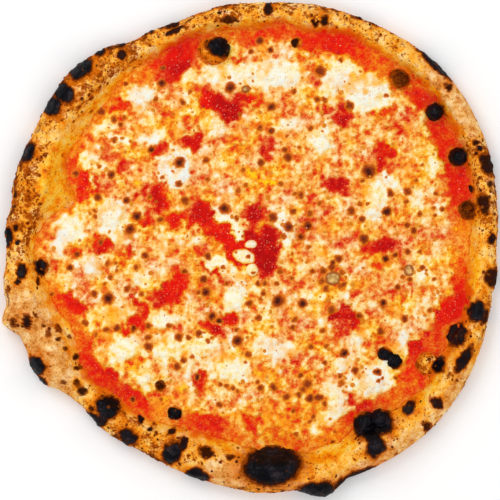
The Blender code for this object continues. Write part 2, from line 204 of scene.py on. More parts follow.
# Thick mozzarella on the sheet, then crumbs on bare sauce, one node each: x, y, half sizes, rise, turn.
POOLS = ovals(
    (-68, 93, 8, 8.5, 1.9), (17, 108, 15, 7, 2.2, -8), (49, 104, 9, 10, 2.2, 20),
    (74, 98, 9.5, 11, 2.4, 40), (-46, 49, 9.5, 10.5, 2.6), (-113, 12, 8, 9, 2.2), (-85, 22, 9, 9, 2.4),
    (-99, -12, 8.5, 7, 2.2, 20), (-74, -18, 8, 5.5, 2), (-114.5, -19.5, 4.2, 4.4, 1.6),
    (-9, -31, 7.5, 6.5, 2.3, 30), (-54, -46.5, 7, 4.5, 1.9, 5), (-50, -63, 9, 6, 2), (-29, -63, 8, 5.5, 2),
    (-77, -64, 7.5, 6.5, 1.9), (-66, -83, 4.5, 7.5, 1.9), (75.5, -83, 9.5, 7.5, 2.6),
    (95.5, -53, 3.8, 6.2, 1.9), (54, -98, 7, 6.5, 2.1), (15, -56.5, 10.5, 4.8, 2.2, 8),
    (57.5, -71, 5.5, 5, 1.7), (24.5, 10, 4.5, 8, 2, 30), (77, 28, 7.5, 11, 2.2), (44, 65, 6.5, 7.5, 2.4),
    (-26, -13, 6.5, 3.6, 1.8, -22), (106.5, -20, 5, 6.5, 1.9), (66, -56, 4.8, 4.2, 1.7),
    (-12, -77, 8.5, 5.5, 1.9), (108, 54, 4.8, 8, 2, 5), (-98.5, 56.5, 6, 4.6, 1.7, 20),
)
CRUMBS = ovals(
    (1, 2.6, 3.6, 2.5, 1.5), (-3.5, -4.8, 7, 4.3, 1.9, -14), (1.4, -13.4, 3.9, 3.9, 1.8),
)

# See-through bubbles of cheese, in the same way.
CLEAR_BUBBLES = ovals(
    (51.8, -18.5, 5, 4.4, 1.5, 20), (99, -13.5, 3.2, 3.8, 1), (-2.5, 99, 2.6, 2.4, .9),
)

# Where sauce shows through: x, y, half sizes, strength, turn.
RED_OVALS = ovals(
    (-23, 92, 9.5, 6, 1, -20), (-1, 92.5, 9.5, 4, 1, 8), (-12, 84, 7, 6, 1), (-46, 18, 7, 4.5, 1),
    (-30, 21, 9, 8, 1), (-16, 8, 14, 6.5, 1, -28), (-2, 0, 14, 12, 1), (3, 21, 6, 7, 1),
    (11, -3, 7.5, 18, 1, -8), (-46, -24, 6.5, 13, .95, -8), (-55, -31, 6.5, 4.5, .9),
    (-71, -47, 8, 5, .9, 12), (-13, -43.5, 6, 4.2, .95), (-24, -48, 6.5, 4, .9, -15),
    (59, -41.5, 7.5, 4.6, .8), (30, -69.5, 8, 4, .6, 15), (82, 2, 12, 5, .95, 12), (83, 60, 5, 8, .85),
    (58, 81, 6, 7.5, .85), (-58, 31, 6.5, 8, .8, 25), (-35, 65, 6.5, 6.5, .95), (-30, -83, 5, 7.5, .8),
    (53, 40, 10.5, 5, .95, -18), (-105, 39, 5, 11, 1, 15), (-110, -34, 8, 4.5, .95, -32),
    (-26, -112, 13, 7, .95, -12), (1, -109, 4, 10, .8), (78, -98, 10, 5, .9, -8), (-92, 2, 7, 4, .9, -25),
    (-81, 89, 6, 4, .8), (-77, 109, 3, 2.5, .6), (-106, 63, 3, 4, .7), (-88, 58, 5, 3, .65),
    (-80, 51, 3, 2.5, .7), (-57, 60, 5.5, 4, .9, 20), (-52, 83.5, 2.5, 2, .5), (-6, 117, 3, 2, .6),
    (-57, 37, 7, 4, .7), (-54, 28, 4, 6, .8), (-62, 19, 5, 5, .6), (-122, 9, 2, 4, .5),
    (41, 103, 3, 5.5, .7), (28, 86, 3, 2.5, .6), (36, 82, 4, 3, .5), (11, 61, 3.5, 6.5, .85),
    (17, 52, 3.5, 1.5, .7), (38, 31, 2.5, 2.5, .7), (88, 85, 3.5, 4, .7), (81, 80, 3.5, 3, .7),
    (98, 82, 3, 3, .6), (93, 73, 2.5, 4, .9), (83, 51, 5.5, 4, .7), (-106, -2, 5, 3.4, .7),
    (-120, -13, 2, 6, .7), (-103.5, -39.5, 3, 2, .9), (-66, -36, 3, 2.5, .6), (-67, -41, 2.5, 4, .7, -20),
    (-30, -2, 3, 4, .8), (57, -50, 5, 5, .5), (67, -29, 4, 2, .5), (36, -6.5, 2.5, 2, .7),
    (32, -2, 2, 2, .7), (80, -11, 4, 3, .6), (65, -3.5, 4, 2, .6), (124, -39, 7, 9, 1),
    (78, -58, 5, 2.5, .5), (86, -26, 4, 1.5, .5), (-68, -70, 4, 3, .4), (-6, -117, 6, 2, .7),
    (63.5, -95, 2.5, 3.5, .8), (66, -99.5, 2.5, 3, .9), (64, -110, 3, 8, .8), (56, -114, 10, 5, .5),
    (92, -104, 3, 4, .8), (-46, -108, 8, 4, .5), (96, -88, 5, 5, .7), (34, 12, 3.6, 7, .9, -25),
)
# Lines of sauce: half width, strength, then the points they run through.
RED_LINES = lines(
    (1.6, .7, ((-97, 8), (-88, 2))), (1.4, .6, ((-70, 12), (-60, 18))), (1.6, .6, ((-73, 0), (-80, -9))),
    (2, .85, ((-72, -31), (-64, -38))), (1.3, .9, ((-30, -10), (-20, -15), (-13, -23))),
    (2, .95, ((52, -44), (60, -37), (66, -46))), (.9, .6, ((27, -8), (26, -18))),
    (1, .5, ((96, -25), (96, -34))), (1, .5, ((101, -22), (100, -32))),
    (2.4, 1, (
        (-103, -58), (-102, -64), (-97, -72), (-92, -78), (-85, -80), (-78, -83), (-72, -91), (-63, -99))),
    (2.2, .9, ((-117, -31), (-107, -39))), (1.3, .8, ((26, -123), (33, -125), (38, -123))),
    (2.6, .9, ((90, -93), (103, -82), (104, -74))), (3.8, .95, ((122, -45), (103, -62))),
    (1.8, .6, ((-100, 48), (-94, 42), (-95, 36))), (2, .7, ((50, 87), (46, 89))),
    (3, .9, ((-110, 57), (-112, 50), (-110, 42))),
    (4.5, .6, ((104, -66), (100, -78), (90, -92), (80, -97))),
)
# Stained, orange cheese, in the same way.
ORANGE_OVALS = ovals(
    (-34, 35, 7, 7, .8), (-38, 77, 6, 5, .8), (45, 22, 8, 8, .8), (92, 53, 4, 4, .6), (-90, -55, 8, 4, .7),
    (-30, -22, 8, 8, .8), (-25, -30, 8, 6, .8), (-20, -35, 5, 4, .6), (37, -46, 5, 6, .8),
    (40, -57, 6, 5, .7), (22, -107, 24, 11, .8), (-45, -93, 7, 5, .8), (-56, -95, 7, 6, .8),
    (95, -77, 6, 10, .8), (78, -43, 4, 3, .6), (-58, -30, 4, 6, .5), (50, -18, 10, 8, .6),
    (6, 66, 8, 8, .4), (58, 10, 10, 8, .4), (-80, 40, 8, 8, .3), (30, -84, 14, 8, .5), (-76, 82, 8, 8, .4),
    (98, 8, 6, 10, .5), (88, -34, 12, 10, .4),
)
# Darker, rosy sauce and cheese, then brighter, warm sauce.
ROSY_OVALS = ovals(
    (11, -3, 8, 18, 1, -8), (3, 21, 6, 7, .9), (53, 40, 11, 7, .9, -18), (59, -42, 9, 7, .8),
    (58, 81, 7, 8, .7), (-12, 86, 9, 7, .6), (-62, 30, 8, 10, .6, 25), (-26, -112, 13, 7, .8, -12),
    (-47, 50, 12, 14, .7), (25, 12, 8, 8, .9), (35, 12, 7, 9, 1), (76, -82, 10, 9, .5),
    (-68, 95, 9, 10, .5), (82, 2, 12, 5, .7, 12),
)
WARM_OVALS = ovals(
    (-16, 8, 15, 10, 1, -28), (-46, 16, 12, 8, .9), (-46, -24, 8, 14, .9, -8), (-71, -47, 9, 6, .8, 12),
    (124, -39, 8, 12, .9), (-105, 39, 7, 14, .5, 15), (-110, -36, 12, 7, .9, -32), (-13, -44, 8, 6, .8),
    (20, -105, 30, 14, .8), (95, -77, 8, 12, .9), (7, 43, 12, 7, 1), (112, 55, 8, 20, .6, 5),
    (60, 118, 40, 8, .6, -20), (-80, 89, 12, 10, .4), (-90, -62, 20, 14, .6, -30),
)
# White, thick cheese.
WHITE_OVALS = ovals(
    (-68, 97, 7, 10, 1), (-95, 76, 4, 3.5, .8), (-88, 77.5, 3, 2.5, .8), (-81, 67, 4, 3.5, .8),
    (-94, 63, 2.5, 2.5, .7), (-45, 107, 13, 5, .75), (-15, 108, 15, 7, .8), (15, 108, 18, 9, 1, -5),
    (60, 108, 11, 11, .85), (75, 97, 12, 13, .9), (49, 104, 8, 9, .9, 20), (-20, 78, 5, 5, .8),
    (-57, 69, 8, 4.5, .9), (26, 78, 6, 4, .8), (45, 67, 7, 8.5, 1), (66, 90, 4, 4, .8),
    (-47, 50, 11, 13, 1), (-112, 12, 10, 10, .95), (-87, 20, 9, 10, .9), (-105, 56, 7, 5, .8),
    (-100, 42, 3, 3, .7), (-83, 7, 5, 5, .8), (78, 30, 8, 13, .8), (116, 55, 4.5, 9, .8),
    (105, 28, 4, 4, .7), (-119, 1, 4.5, 9, .85), (-123, -22, 5, 5, .9), (-95, -6, 9, 3.5, .85),
    (-98, -12, 7, 5, .9), (-68, -19, 6.5, 5, .9), (-97, -34, 6, 3, .5), (-87, -42, 12, 4.5, .5),
    (-77, -59, 8, 6, .9), (-22, -8, 5, 3, .9), (-9, -32, 8, 8, 1), (-53, -44, 8, 5, .9),
    (-51, -60, 9, 7, .8), (-30, -58, 10, 6, .8), (-12, -60, 6, 4, .5), (20, 2, 5, 5.5, .9),
    (23, -61.5, 3, 3, .9), (45, -30, 4, 2.5, .8), (47, -46, 3, 3, .8), (10, -38, 8, 6, .5),
    (65, -57, 5, 4, .9), (35, -28, 3, 3, .6), (34, -12, 3, 3, .6), (95, -57, 4.5, 7, 1),
    (60, -28, 3, 5, .7), (106, -18, 4.5, 5.5, .8), (110, -30, 3, 3, .6), (-77, -66, 5, 5, .9),
    (-65, -80, 5, 9, .9), (-88, -71, 3, 2, .4), (-55, -66, 5, 4, .8), (-35, -63, 5, 4, .8),
    (-37, -74, 3, 5, .8), (-20, -75, 10, 6, .8), (-7, -77, 6, 8, .8), (-15, -103, 4, 5, .6),
    (-22, -93, 4, 4, .5), (15, -64, 12, 5, .8), (18.5, -102, 2.5, 2.5, .7), (9, -107, 3, 2, .6),
    (34, -108.5, 2, 2, .7), (40.5, -112.5, 4, 3.5, .95), (50, -105, 9, 5, .7), (55, -98, 7, 7, .8),
    (58, -72, 6, 5, .9), (63, -86, 5, 6, .7), (53, -86, 4, 4, .6), (79, -81, 11, 9, 1, 20),
    (86, -93, 4, 3, .7), (-41, 15, 3, 1.8, .7), (-33, 5, 3, 2, .7),
)
WHITE_LINES = lines(
    (3, .95, ((-19, 23), (-12, 17), (-5, 9))), (3.2, .95, ((17, 21), (21, 13), (25, 3))),
    (2.6, .95, ((-27, -6), (-18, -10), (-10, -13), (-5, -20))), (2.6, .8, ((86, 45), (90, 42))),
)
# Free oil, yellow on the cheese.
OIL_OVALS = ovals(
    (2, 46, 7, 3, 1, -25), (12, 41.5, 8, 3, 1, -12), (5, 112.5, 2.5, 2, .8), (19, 114.5, 1.5, 1.5, .8),
    (33, 113.5, 3, 2.5, .8), (63, 108, 2.5, 2, .8), (70.5, 107.5, 2, 2, .8), (72, 97, 3, 2, .8),
    (-87, -42, 12, 4.5, .5), (-90, -55, 8, 4, .8), (-7, -17, 4, 3, .8), (-2, -23, 2, 2, .7),
    (45, -3, 4, 3, .8), (20, -56.5, 2.5, 1.2, .8), (5, -46, 2.5, 2, .7), (65, -22, 3, 3, .5),
    (-75, -73, 4, 3, .9), (-56, -95, 6, 6, .8), (-41.5, -85.5, 3, 3, .8), (-11, -69, 2.5, 1.8, .7),
    (9, -67.5, 2.8, 1.4, 1), (7, -76, 5, 3, .8), (16, -74.5, 3, 2, .5), (24, -105, 20, 9, .6),
    (90, -62, 6, 5, .7), (-34, 35, 7, 7, .4), (45, 22, 8, 8, .3), (95, -77, 6, 9, .5), (-45, -93, 6, 4, .5),
)
# Browned blisters of cheese, by how dark they are: x, y, radius.
SPOTS = {
    1: (
        (-43.5, 53.5, 3.2), (85.5, 23, 3), (18, -32.7, 3.9), (33, -34, 3.1),
    ),
    .9: (
        (-54.5, 102.5, 2.9), (-76, 30, 2.3), (-70, 20, 3.2), (-15.5, 25, 3.3), (36, 14, 3), (74, 48, 4.4),
        (-61, 61.5, 2.3), (-87.5, -31, 3.8), (-27, -27, 3.1), (-23.5, -42, 2.7), (-18.5, -44.8, 2.1),
        (-7.3, -57.3, 3.3), (58.8, -65, 2.8), (84.5, -6.5, 2.3), (82.8, -33.5, 2.4), (-72.5, -93.5, 1.8),
        (-32.5, -80, 1.9), (79.5, -76.5, 2.2),
    ),
    .8: (
        (-12, 100, 3.2), (-86, 46, 2.5), (-74, 12, 3.3), (13, 123.5, 2), (6.5, 129, 2.4), (13.5, 88, 3),
        (24, 13.5, 3.1), (32, 7, 2.5), (71, 6, 3), (-111, -11.5, 2.2), (-72, -50, 2.4), (51.5, -8.7, 2),
        (90, -4, 2), (38, -93, 2.7), (52, -120, 1.6),
    ),
    .7: (
        (-1.5, 99.5, 1.9), (-54, 112, 2), (-41.5, 91, 2.1), (-108, 46.5, 2.2), (-94, 32, 2.5),
        (-92, 4, 1.8), (44, 110, 3.6), (62, 88.5, 2.6), (13.5, 73, 2.2), (24, 57, 2.7), (14, 19.5, 3),
        (87.5, 34.5, 2.4), (102, 11, 2.3), (-107, -3.5, 2), (-64.5, -4.5, 2.4), (-82, -49.5, 2.5),
        (-26, -4.6, 2.3), (-28.5, -19.5, 2.6), (-14, -22, 1.5), (55.5, -6, 2.7), (68, -42, 2.5),
        (91.8, -24, 2.1), (96, -43.5, 2.3), (81.5, -51.5, 2.5), (65.5, -76, 2.3), (14.8, -86, 2.5),
        (43, -92.5, 2.5),
    ),
    .6: (
        (-92, 85, 2.6), (-77, 102.5, 1.7), (-84, 80, 2.2), (-80, 77, 1.6), (-122, 25, 2), (-40, 30, 2.7),
        (1, 122.5, 1.9), (42, 92.5, 2.1), (22, 61, 2), (7, 53.5, 2.2), (27, 23, 2.2), (98, 35.5, 2.5),
        (98, 14.5, 2.1), (70, 18, 2.3), (119.5, 24.5, 1.8), (63, 23, 2.6), (-122.8, -28.7, 1.6),
        (-96.3, -28, 2.5), (-75.8, -25, 1.9), (-62.5, -60.5, 2.8), (-40.5, -14, 2), (-.5, -34, 2.4),
        (-44, -54.8, 2.7), (-31.5, -53, 2.2), (39, -14, 1.9), (26.3, -18.5, 1.7), (8.5, -27.5, 1.9),
        (27, -49, 2), (5, -21.5, 1.8), (9.5, -22, 1.8), (107, -12, 1.9), (98, -2, 2), (-45, -73.5, 2.5),
        (-41, -69, 2.1), (-18.5, -97, 2), (31.5, -79, 1.8), (46.8, -70.5, 1.8), (7, -86.5, 2.1),
        (22.5, -92, 2.5), (30.5, -91, 2.1), (36, -84, 3), (51, -12, 2.2),
    ),
    .55: (
        (45.5, -14, 2.6),
    ),
    .5: (
        (-96, 24, 1.6), (-44, 40, 2.1), (-27, 55, 2.1), (-55, 18, 2.4), (-8, 19, 1.6), (-4, 8, .9),
        (27.5, 97.5, 1.9), (46.5, 92.5, 2), (6.5, 75, 2.1), (38, 74.5, 1.6), (32, 33, 2.1), (37, 22, 2.2),
        (56.5, 117, 1.7), (70.5, 42, 1.6), (97.5, 29, 1.9), (116, 34, 1.8), (106, 21.5, 1.9),
        (115, 20.5, 1.6), (-70, -11.5, 2), (-66.8, -28.3, 1.7), (-89, -50.5, 2.2), (-63, -55, 2.1),
        (-62.5, -48, 2.4), (-102, -46, 2), (-32, -27, 1.6), (-50, -48, 1.7), (-38, -55.3, 1.7),
        (-26, -57, 1.6), (-54, -23.5, 1.6), (-8, -50.5, 1.6), (5.5, -43, 2.1), (28, -44, 1.8),
        (17, -22, 1.6), (48, -25.5, 1.9), (59, -22, 1.8), (45, -51, 1.9), (38, -61, 1.9), (51, -38, 3),
        (99.5, -19.5, 1.9), (105.8, -2, 1.6), (112, -38.5, 1.6), (-55, -93.5, 1.2), (-18.5, -84.5, 1.7),
        (-14.5, -85.5, 1.7), (-10.5, -86.5, 1.6), (-1, -66, 2.2), (56, -78.5, 1.6), (5, -83, 1.6),
        (46.5, -96, 2), (33, -87.5, 2.1), (39.5, -104.5, 1.8), (27, -100.5, 1.8), (29, -115.5, 1.6),
        (53.5, -114, 1.3), (82.5, -80.5, 1), (80.2, -82.5, 1.4), (90.7, -80, 1.4), (-.8, -5, 1.5),
        (44.5, -20, 2.4), (47.5, -25, 2.2),
    ),
    .4: (
        (-37, 97.5, 1.4), (-58, 93, 1.7), (-6.5, 83.5, 1.6), (-78, 81, 1.6), (-84, 67, 2), (-93, 51, 1.4),
        (-96, 20, 1.6), (-54, 44, 1.4), (-26, 43, 1.6), (-62, 32, 1.8), (-58, 29, 1.6), (23.5, 70, 1.4),
        (31, 62.5, 1.4), (19.5, 40, 1.7), (6, 25, 1.8), (21, 7.5, 2), (43.5, 28, 1.6), (68.5, 28, 1.6),
        (73, 28, 1.3), (103.5, 42, 1.6), (114.5, 25, 1.4), (84.5, 95, 1.5), (-88, -9.5, 1.9),
        (-83, -9, 1.6), (-86.5, -18, 1.8), (-95.5, -54, 1.6), (-16.5, -11.5, 1.4), (26.5, -3.5, 1.3),
        (36.5, .8, 1.6), (19, -14, 2), (47.5, -60.5, 1.8), (109.8, -13.5, .9), (115, -19, 1.6),
        (-7.5, -88.5, 1.4), (-35.5, -67, 1.4), (37.5, -107.5, 1.6), (47, -119, 1.2), (2.2, -14.8, 1.2),
        (56.5, -23, 2), (57.5, -14.5, 2.2),
    ),
    .35: (
        (95.5, -17.5, 1.6),
    ),
    .3: (
        (-47.5, 83.5, 1.3), (-4, 49, 1.6), (-2.5, 39.5, 1.6), (-7, 36, 1.7), (28.5, 34, 1.6),
        (90, 13.8, 1.1), (107, 51.5, 1.3), (-82.5, -14, 1.4), (-90, -22, 1.5), (-28, -52.5, 1.1),
        (-23, -55.5, 1.3), (7, -31.5, 1.4), (60, -18, 1.1), (83, -36.5, 1.1), (-2.5, -71, 1.3),
        (41, -79.5, 1.1), (57, -83, 2), (56, -85.5, 1.1), (95, -12, 1.6),
    ),
    .2: (
        (-47.5, 48, 1.1),
    ),
    .1: (
        (-8.5, -2, 1.3),
    ),
}

# Charred places of the rim: from and to angle, from and to reach, darkness.
SCORCHES = (
    (7.3, 12.8, 132, 142.5, .5), (8, 13, 145, 151, .6), (71, 73, 146, 152, .7), (73, 75, 143.5, 147, .7),
    (84.5, 86.5, 144.5, 154, .75), (94.5, 101.8, 120.5, 132.5, 1), (93, 97, 140, 145, .55),
    (106, 112, 141, 144, .7), (107, 111, 144.5, 148, .7), (107, 116, 147, 151, .85),
    (94, 100, 151, 156, .85), (120, 123, 148, 153, .85), (126, 128.5, 150, 157, .85),
    (122, 124.5, 140, 147, .7), (130, 136, 147, 158, 1), (138, 142, 142, 157, .95),
    (142, 146.5, 145, 157, 1), (154, 159, 145, 153, .9), (166.5, 168, 147, 150, .7),
    (174, 176, 143, 147, .75), (175, 179.5, 147, 153, .95), (178, 179.5, 141.5, 144.8, .9),
    (182.7, 187, 126, 134, .85), (183.5, 187.5, 139, 144.5, .8), (188, 189.5, 131.5, 134.5, .6),
    (187.2, 189, 142.5, 146, .8), (196, 200, 142, 147, .75), (197, 198.3, 137.3, 139.8, .6),
    (196.5, 198.5, 151, 156, .55), (206.3, 211, 145.5, 155, 1), (211, 214, 150, 157, .9),
    (225, 231.3, 125, 138, 1), (225, 230, 140.5, 146, .85), (235, 239.5, 134, 143.5, .85),
    (247, 251.5, 128, 142, .95), (250, 252.5, 123.5, 131, .8), (246, 247.8, 121, 126, .7),
    (243, 247.8, 109, 116.5, 1), (254, 260, 140, 149, .9), (256, 260, 126, 132, .6),
    (263.5, 266, 127, 131, .5), (268.6, 283.2, 123.5, 146.5, 1), (283.9, 286, 125, 129, .95),
    (280, 289.5, 150, 163, 1), (289, 300, 153, 160, .75), (300, 306.8, 123.5, 138, 1),
    (304, 310.2, 126, 142, 1), (300, 305, 140, 151, .85), (313, 317, 136.5, 142.5, .95),
    (314, 316, 152, 159, .6), (319.5, 321.5, 147, 155, .75), (326.5, 330.5, 134, 141.5, .9),
    (329, 336, 146, 152.5, .8), (334.5, 340.3, 133, 144.5, 1), (342, 347, 140.5, 150.5, 1),
    (342, 346, 149, 154.5, .6), (351, 355, 146, 157, .65), (1, 3.5, 147, 153, .75), (17, 22, 152, 162, .7),
    (24.5, 26, 152, 157, .7), (40, 50, 159.5, 166, .8), (38, 40, 156, 161, .6), (60, 70, 158, 163, .7),
    (320, 323.5, 102, 109, 1), (319.6, 325, 109.8, 118.5, 1), (235.8, 238.2, 98, 104, .5),
    (76.5, 78.5, 128.5, 134, .75), (46, 51, 135.5, 146, .5), (22, 23.2, 150.7, 153, .8),
    (214, 216, 126, 129, .4), (217, 219, 133, 137, .5), (201, 204, 127, 130, .45), (237, 240, 116, 120, .5),
    (227, 229, 139, 141, .4), (202, 204, 133, 137, .4),
)
# Small burnt specks on the rim: x, y, half width, darkness.
SPECKS = (
    (-108, -67, 2, .6), (-107, -74, 1.7, .6), (-103.5, -88, 2.8, .65), (-98, -99, 2, .6),
    (-67.5, -106, 2.2, 1), (-61.5, -112, 1.2, .9), (-115, -83, 1.5, .5), (-118.5, -56, 1.4, .55),
    (-112, -55, 1.3, .5), (-114, -62, 1.5, .5), (-127, -47.5, 1.2, .5), (-91.5, -106.5, 3.4, .8),
    (75.5, -115, 5, 1), (137, 37, 2, .8), (142, 62, 1.8, .9), (129.4, 56.9, 5.6, 1),
    (114.6, 84.6, 5.8, .95), (-55.5, -85.3, 2.8, .6), (87.2, -67.8, 3.4, 1), (147, 52, 4, .7),
    (145, 29, 4.2, .65), (149, 40, 2, .6), (139, 65, 1.5, .6),
)
# Pale, floured dough, then yellow, oily dough: from and to angle, from and to reach, strength.
FLOURED = (
    (24, 47, 150, 164, .9), (188, 222, 130, 162, .9), (256, 271, 131, 150, .9), (286, 317, 147, 162, .7),
    (315, 333, 149, 163, .7), (0, 24, 150, 160, .4), (336, 358, 150, 160, .5), (68, 82, 150, 160, .5),
    (272, 286, 146, 156, .5), (222, 234, 140, 150, .4),
)
OILY = (
    (33, 52, 141, 152, .9), (145, 170, 112, 138, 1), (80, 95, 135, 142, .6), (96, 108, 130, 142, .5),
    (208, 222, 112, 126, .8), (222, 252, 112, 124, .6), (256, 268, 112, 127, .7), (283, 300, 127, 142, .8),
    (310, 330, 118, 146, .8), (345, 360, 132, 144, .8), (0, 20, 130, 144, .6), (108, 145, 126, 134, .6),
    (170, 184, 125, 134, .4), (50, 72, 142, 150, .6), (330, 345, 138, 144, .5),
)
# Browned stretches of the rim that carry leopard spots.
TOASTED = (
    (50, 92, 146, 160, .7), (84, 112, 137, 158, .75), (112, 150, 134, 158, 1), (150, 185, 128, 156, .95),
    (185, 196, 138, 158, .5), (222, 256, 124, 148, .8), (0, 30, 140, 162, .85), (262, 285, 140, 158, .4),
    (296, 312, 138, 152, .5), (336, 360, 140, 160, .5), (318, 334, 140, 158, .35), (286, 296, 126, 146, .3),
)


def swelled(mean: float, swells: Swells, angle: Field) -> Field:
    """Work out a mean value plus what each swell adds at some angles.

    Args:
        mean: the value away from every swell.
        swells: the angle, spread and reach of each swell.
        angle: angles in degrees.

    Returns:
        The value at each angle.
    """
    value = np.full(np.shape(angle), float(mean))
    for middle, spread, reach in swells:
        away = np.abs((angle - middle + 180.0) % 360.0 - 180.0) / spread
        value += reach * np.cos(np.pi / 2 * np.minimum(away, 1.0)) ** 2
    return value


def smooth(low: float, high: float, value: Field) -> Field:
    """Ease from 0 at a low value to 1 at a high value."""
    share = np.clip((value - low) / (high - low), 0.0, 1.0)
    return share * share * (3.0 - 2.0 * share)


def paint(red: int, green: int, blue: int) -> Colour:
    """Turn a colour of 0 to 255, as a screen shows it, into a linear colour."""
    shares = (red / 255, green / 255, blue / 255)
    linear = [c / 12.92 if c <= 0.04045 else ((c + 0.055) / 1.055) ** 2.4 for c in shares]
    return (linear[0], linear[1], linear[2], 1.0)


def stops(*marks: tuple[float, int, int, int]) -> tuple[tuple[float, Colour], ...]:
    """Turn places and colours of 0 to 255 into a ramp's stops."""
    return tuple((place, paint(*colour)) for place, *colour in marks)


def placed(name: str, data: bpy.types.ID) -> bpy.types.Object:
    """Put a new object into the scene."""
    made = bpy.data.objects.new(name, data)
    bpy.context.scene.collection.objects.link(made)
    return made


class Grain:
    """Seeded gradient noise in a plane or in space, from about -1 to 1."""

    CELLS = 256
    REACH = 1.55

    def __init__(self, seed: int) -> None:
        """Draw the noise's directions.

        Args:
            seed: the number that settles the noise.
        """
        draw = np.random.default_rng(seed)
        self.order = draw.permutation(self.CELLS)
        self.directions = {}
        for axes in (2, 3):
            way = draw.normal(size=(self.CELLS, axes))
            self.directions[axes] = way / np.linalg.norm(way, axis=1, keepdims=True)

    def at(self, length: float, *places: Field) -> Field:
        """Read the noise.

        Args:
            length: size of its bumps.
            *places: two or three arrays of coordinates.

        Returns:
            The noise at each place.
        """
        spot = np.stack(np.broadcast_arrays(*places), -1) / length
        cell = np.floor(spot).astype(np.int64)
        within = spot - cell
        ease = within ** 3 * (within * (within * 6.0 - 15.0) + 10.0)
        directions = self.directions[len(places)]
        total = np.zeros(spot.shape[:-1])
        for corner in np.ndindex(*(2,) * len(places)):
            index = np.zeros(total.shape, np.int64)
            weight = np.ones(total.shape)
            for axis, step in enumerate(corner):
                index = self.order[(index + cell[..., axis] + step) % self.CELLS]
                weight = weight * (ease[..., axis] if step else 1.0 - ease[..., axis])
            total += weight * ((within - corner) * directions[index]).sum(-1)
        return total * self.REACH

    def waves(self, waves: Sequence[tuple[float, float]], *places: Field) -> Field:
        """Add waves of the noise, each with a length and a height."""
        return sum(height * self.at(length, *places) for length, height in waves)

    def layered(self, length: float, layers: int, *places: Field) -> Field:
        """Add finer and weaker layers of the noise, each half the size of the last."""
        total = self.at(length, *places)
        for layer in range(1, layers):
            total = total + self.at(length / 2 ** layer, *places) * 0.55 ** layer
        return total


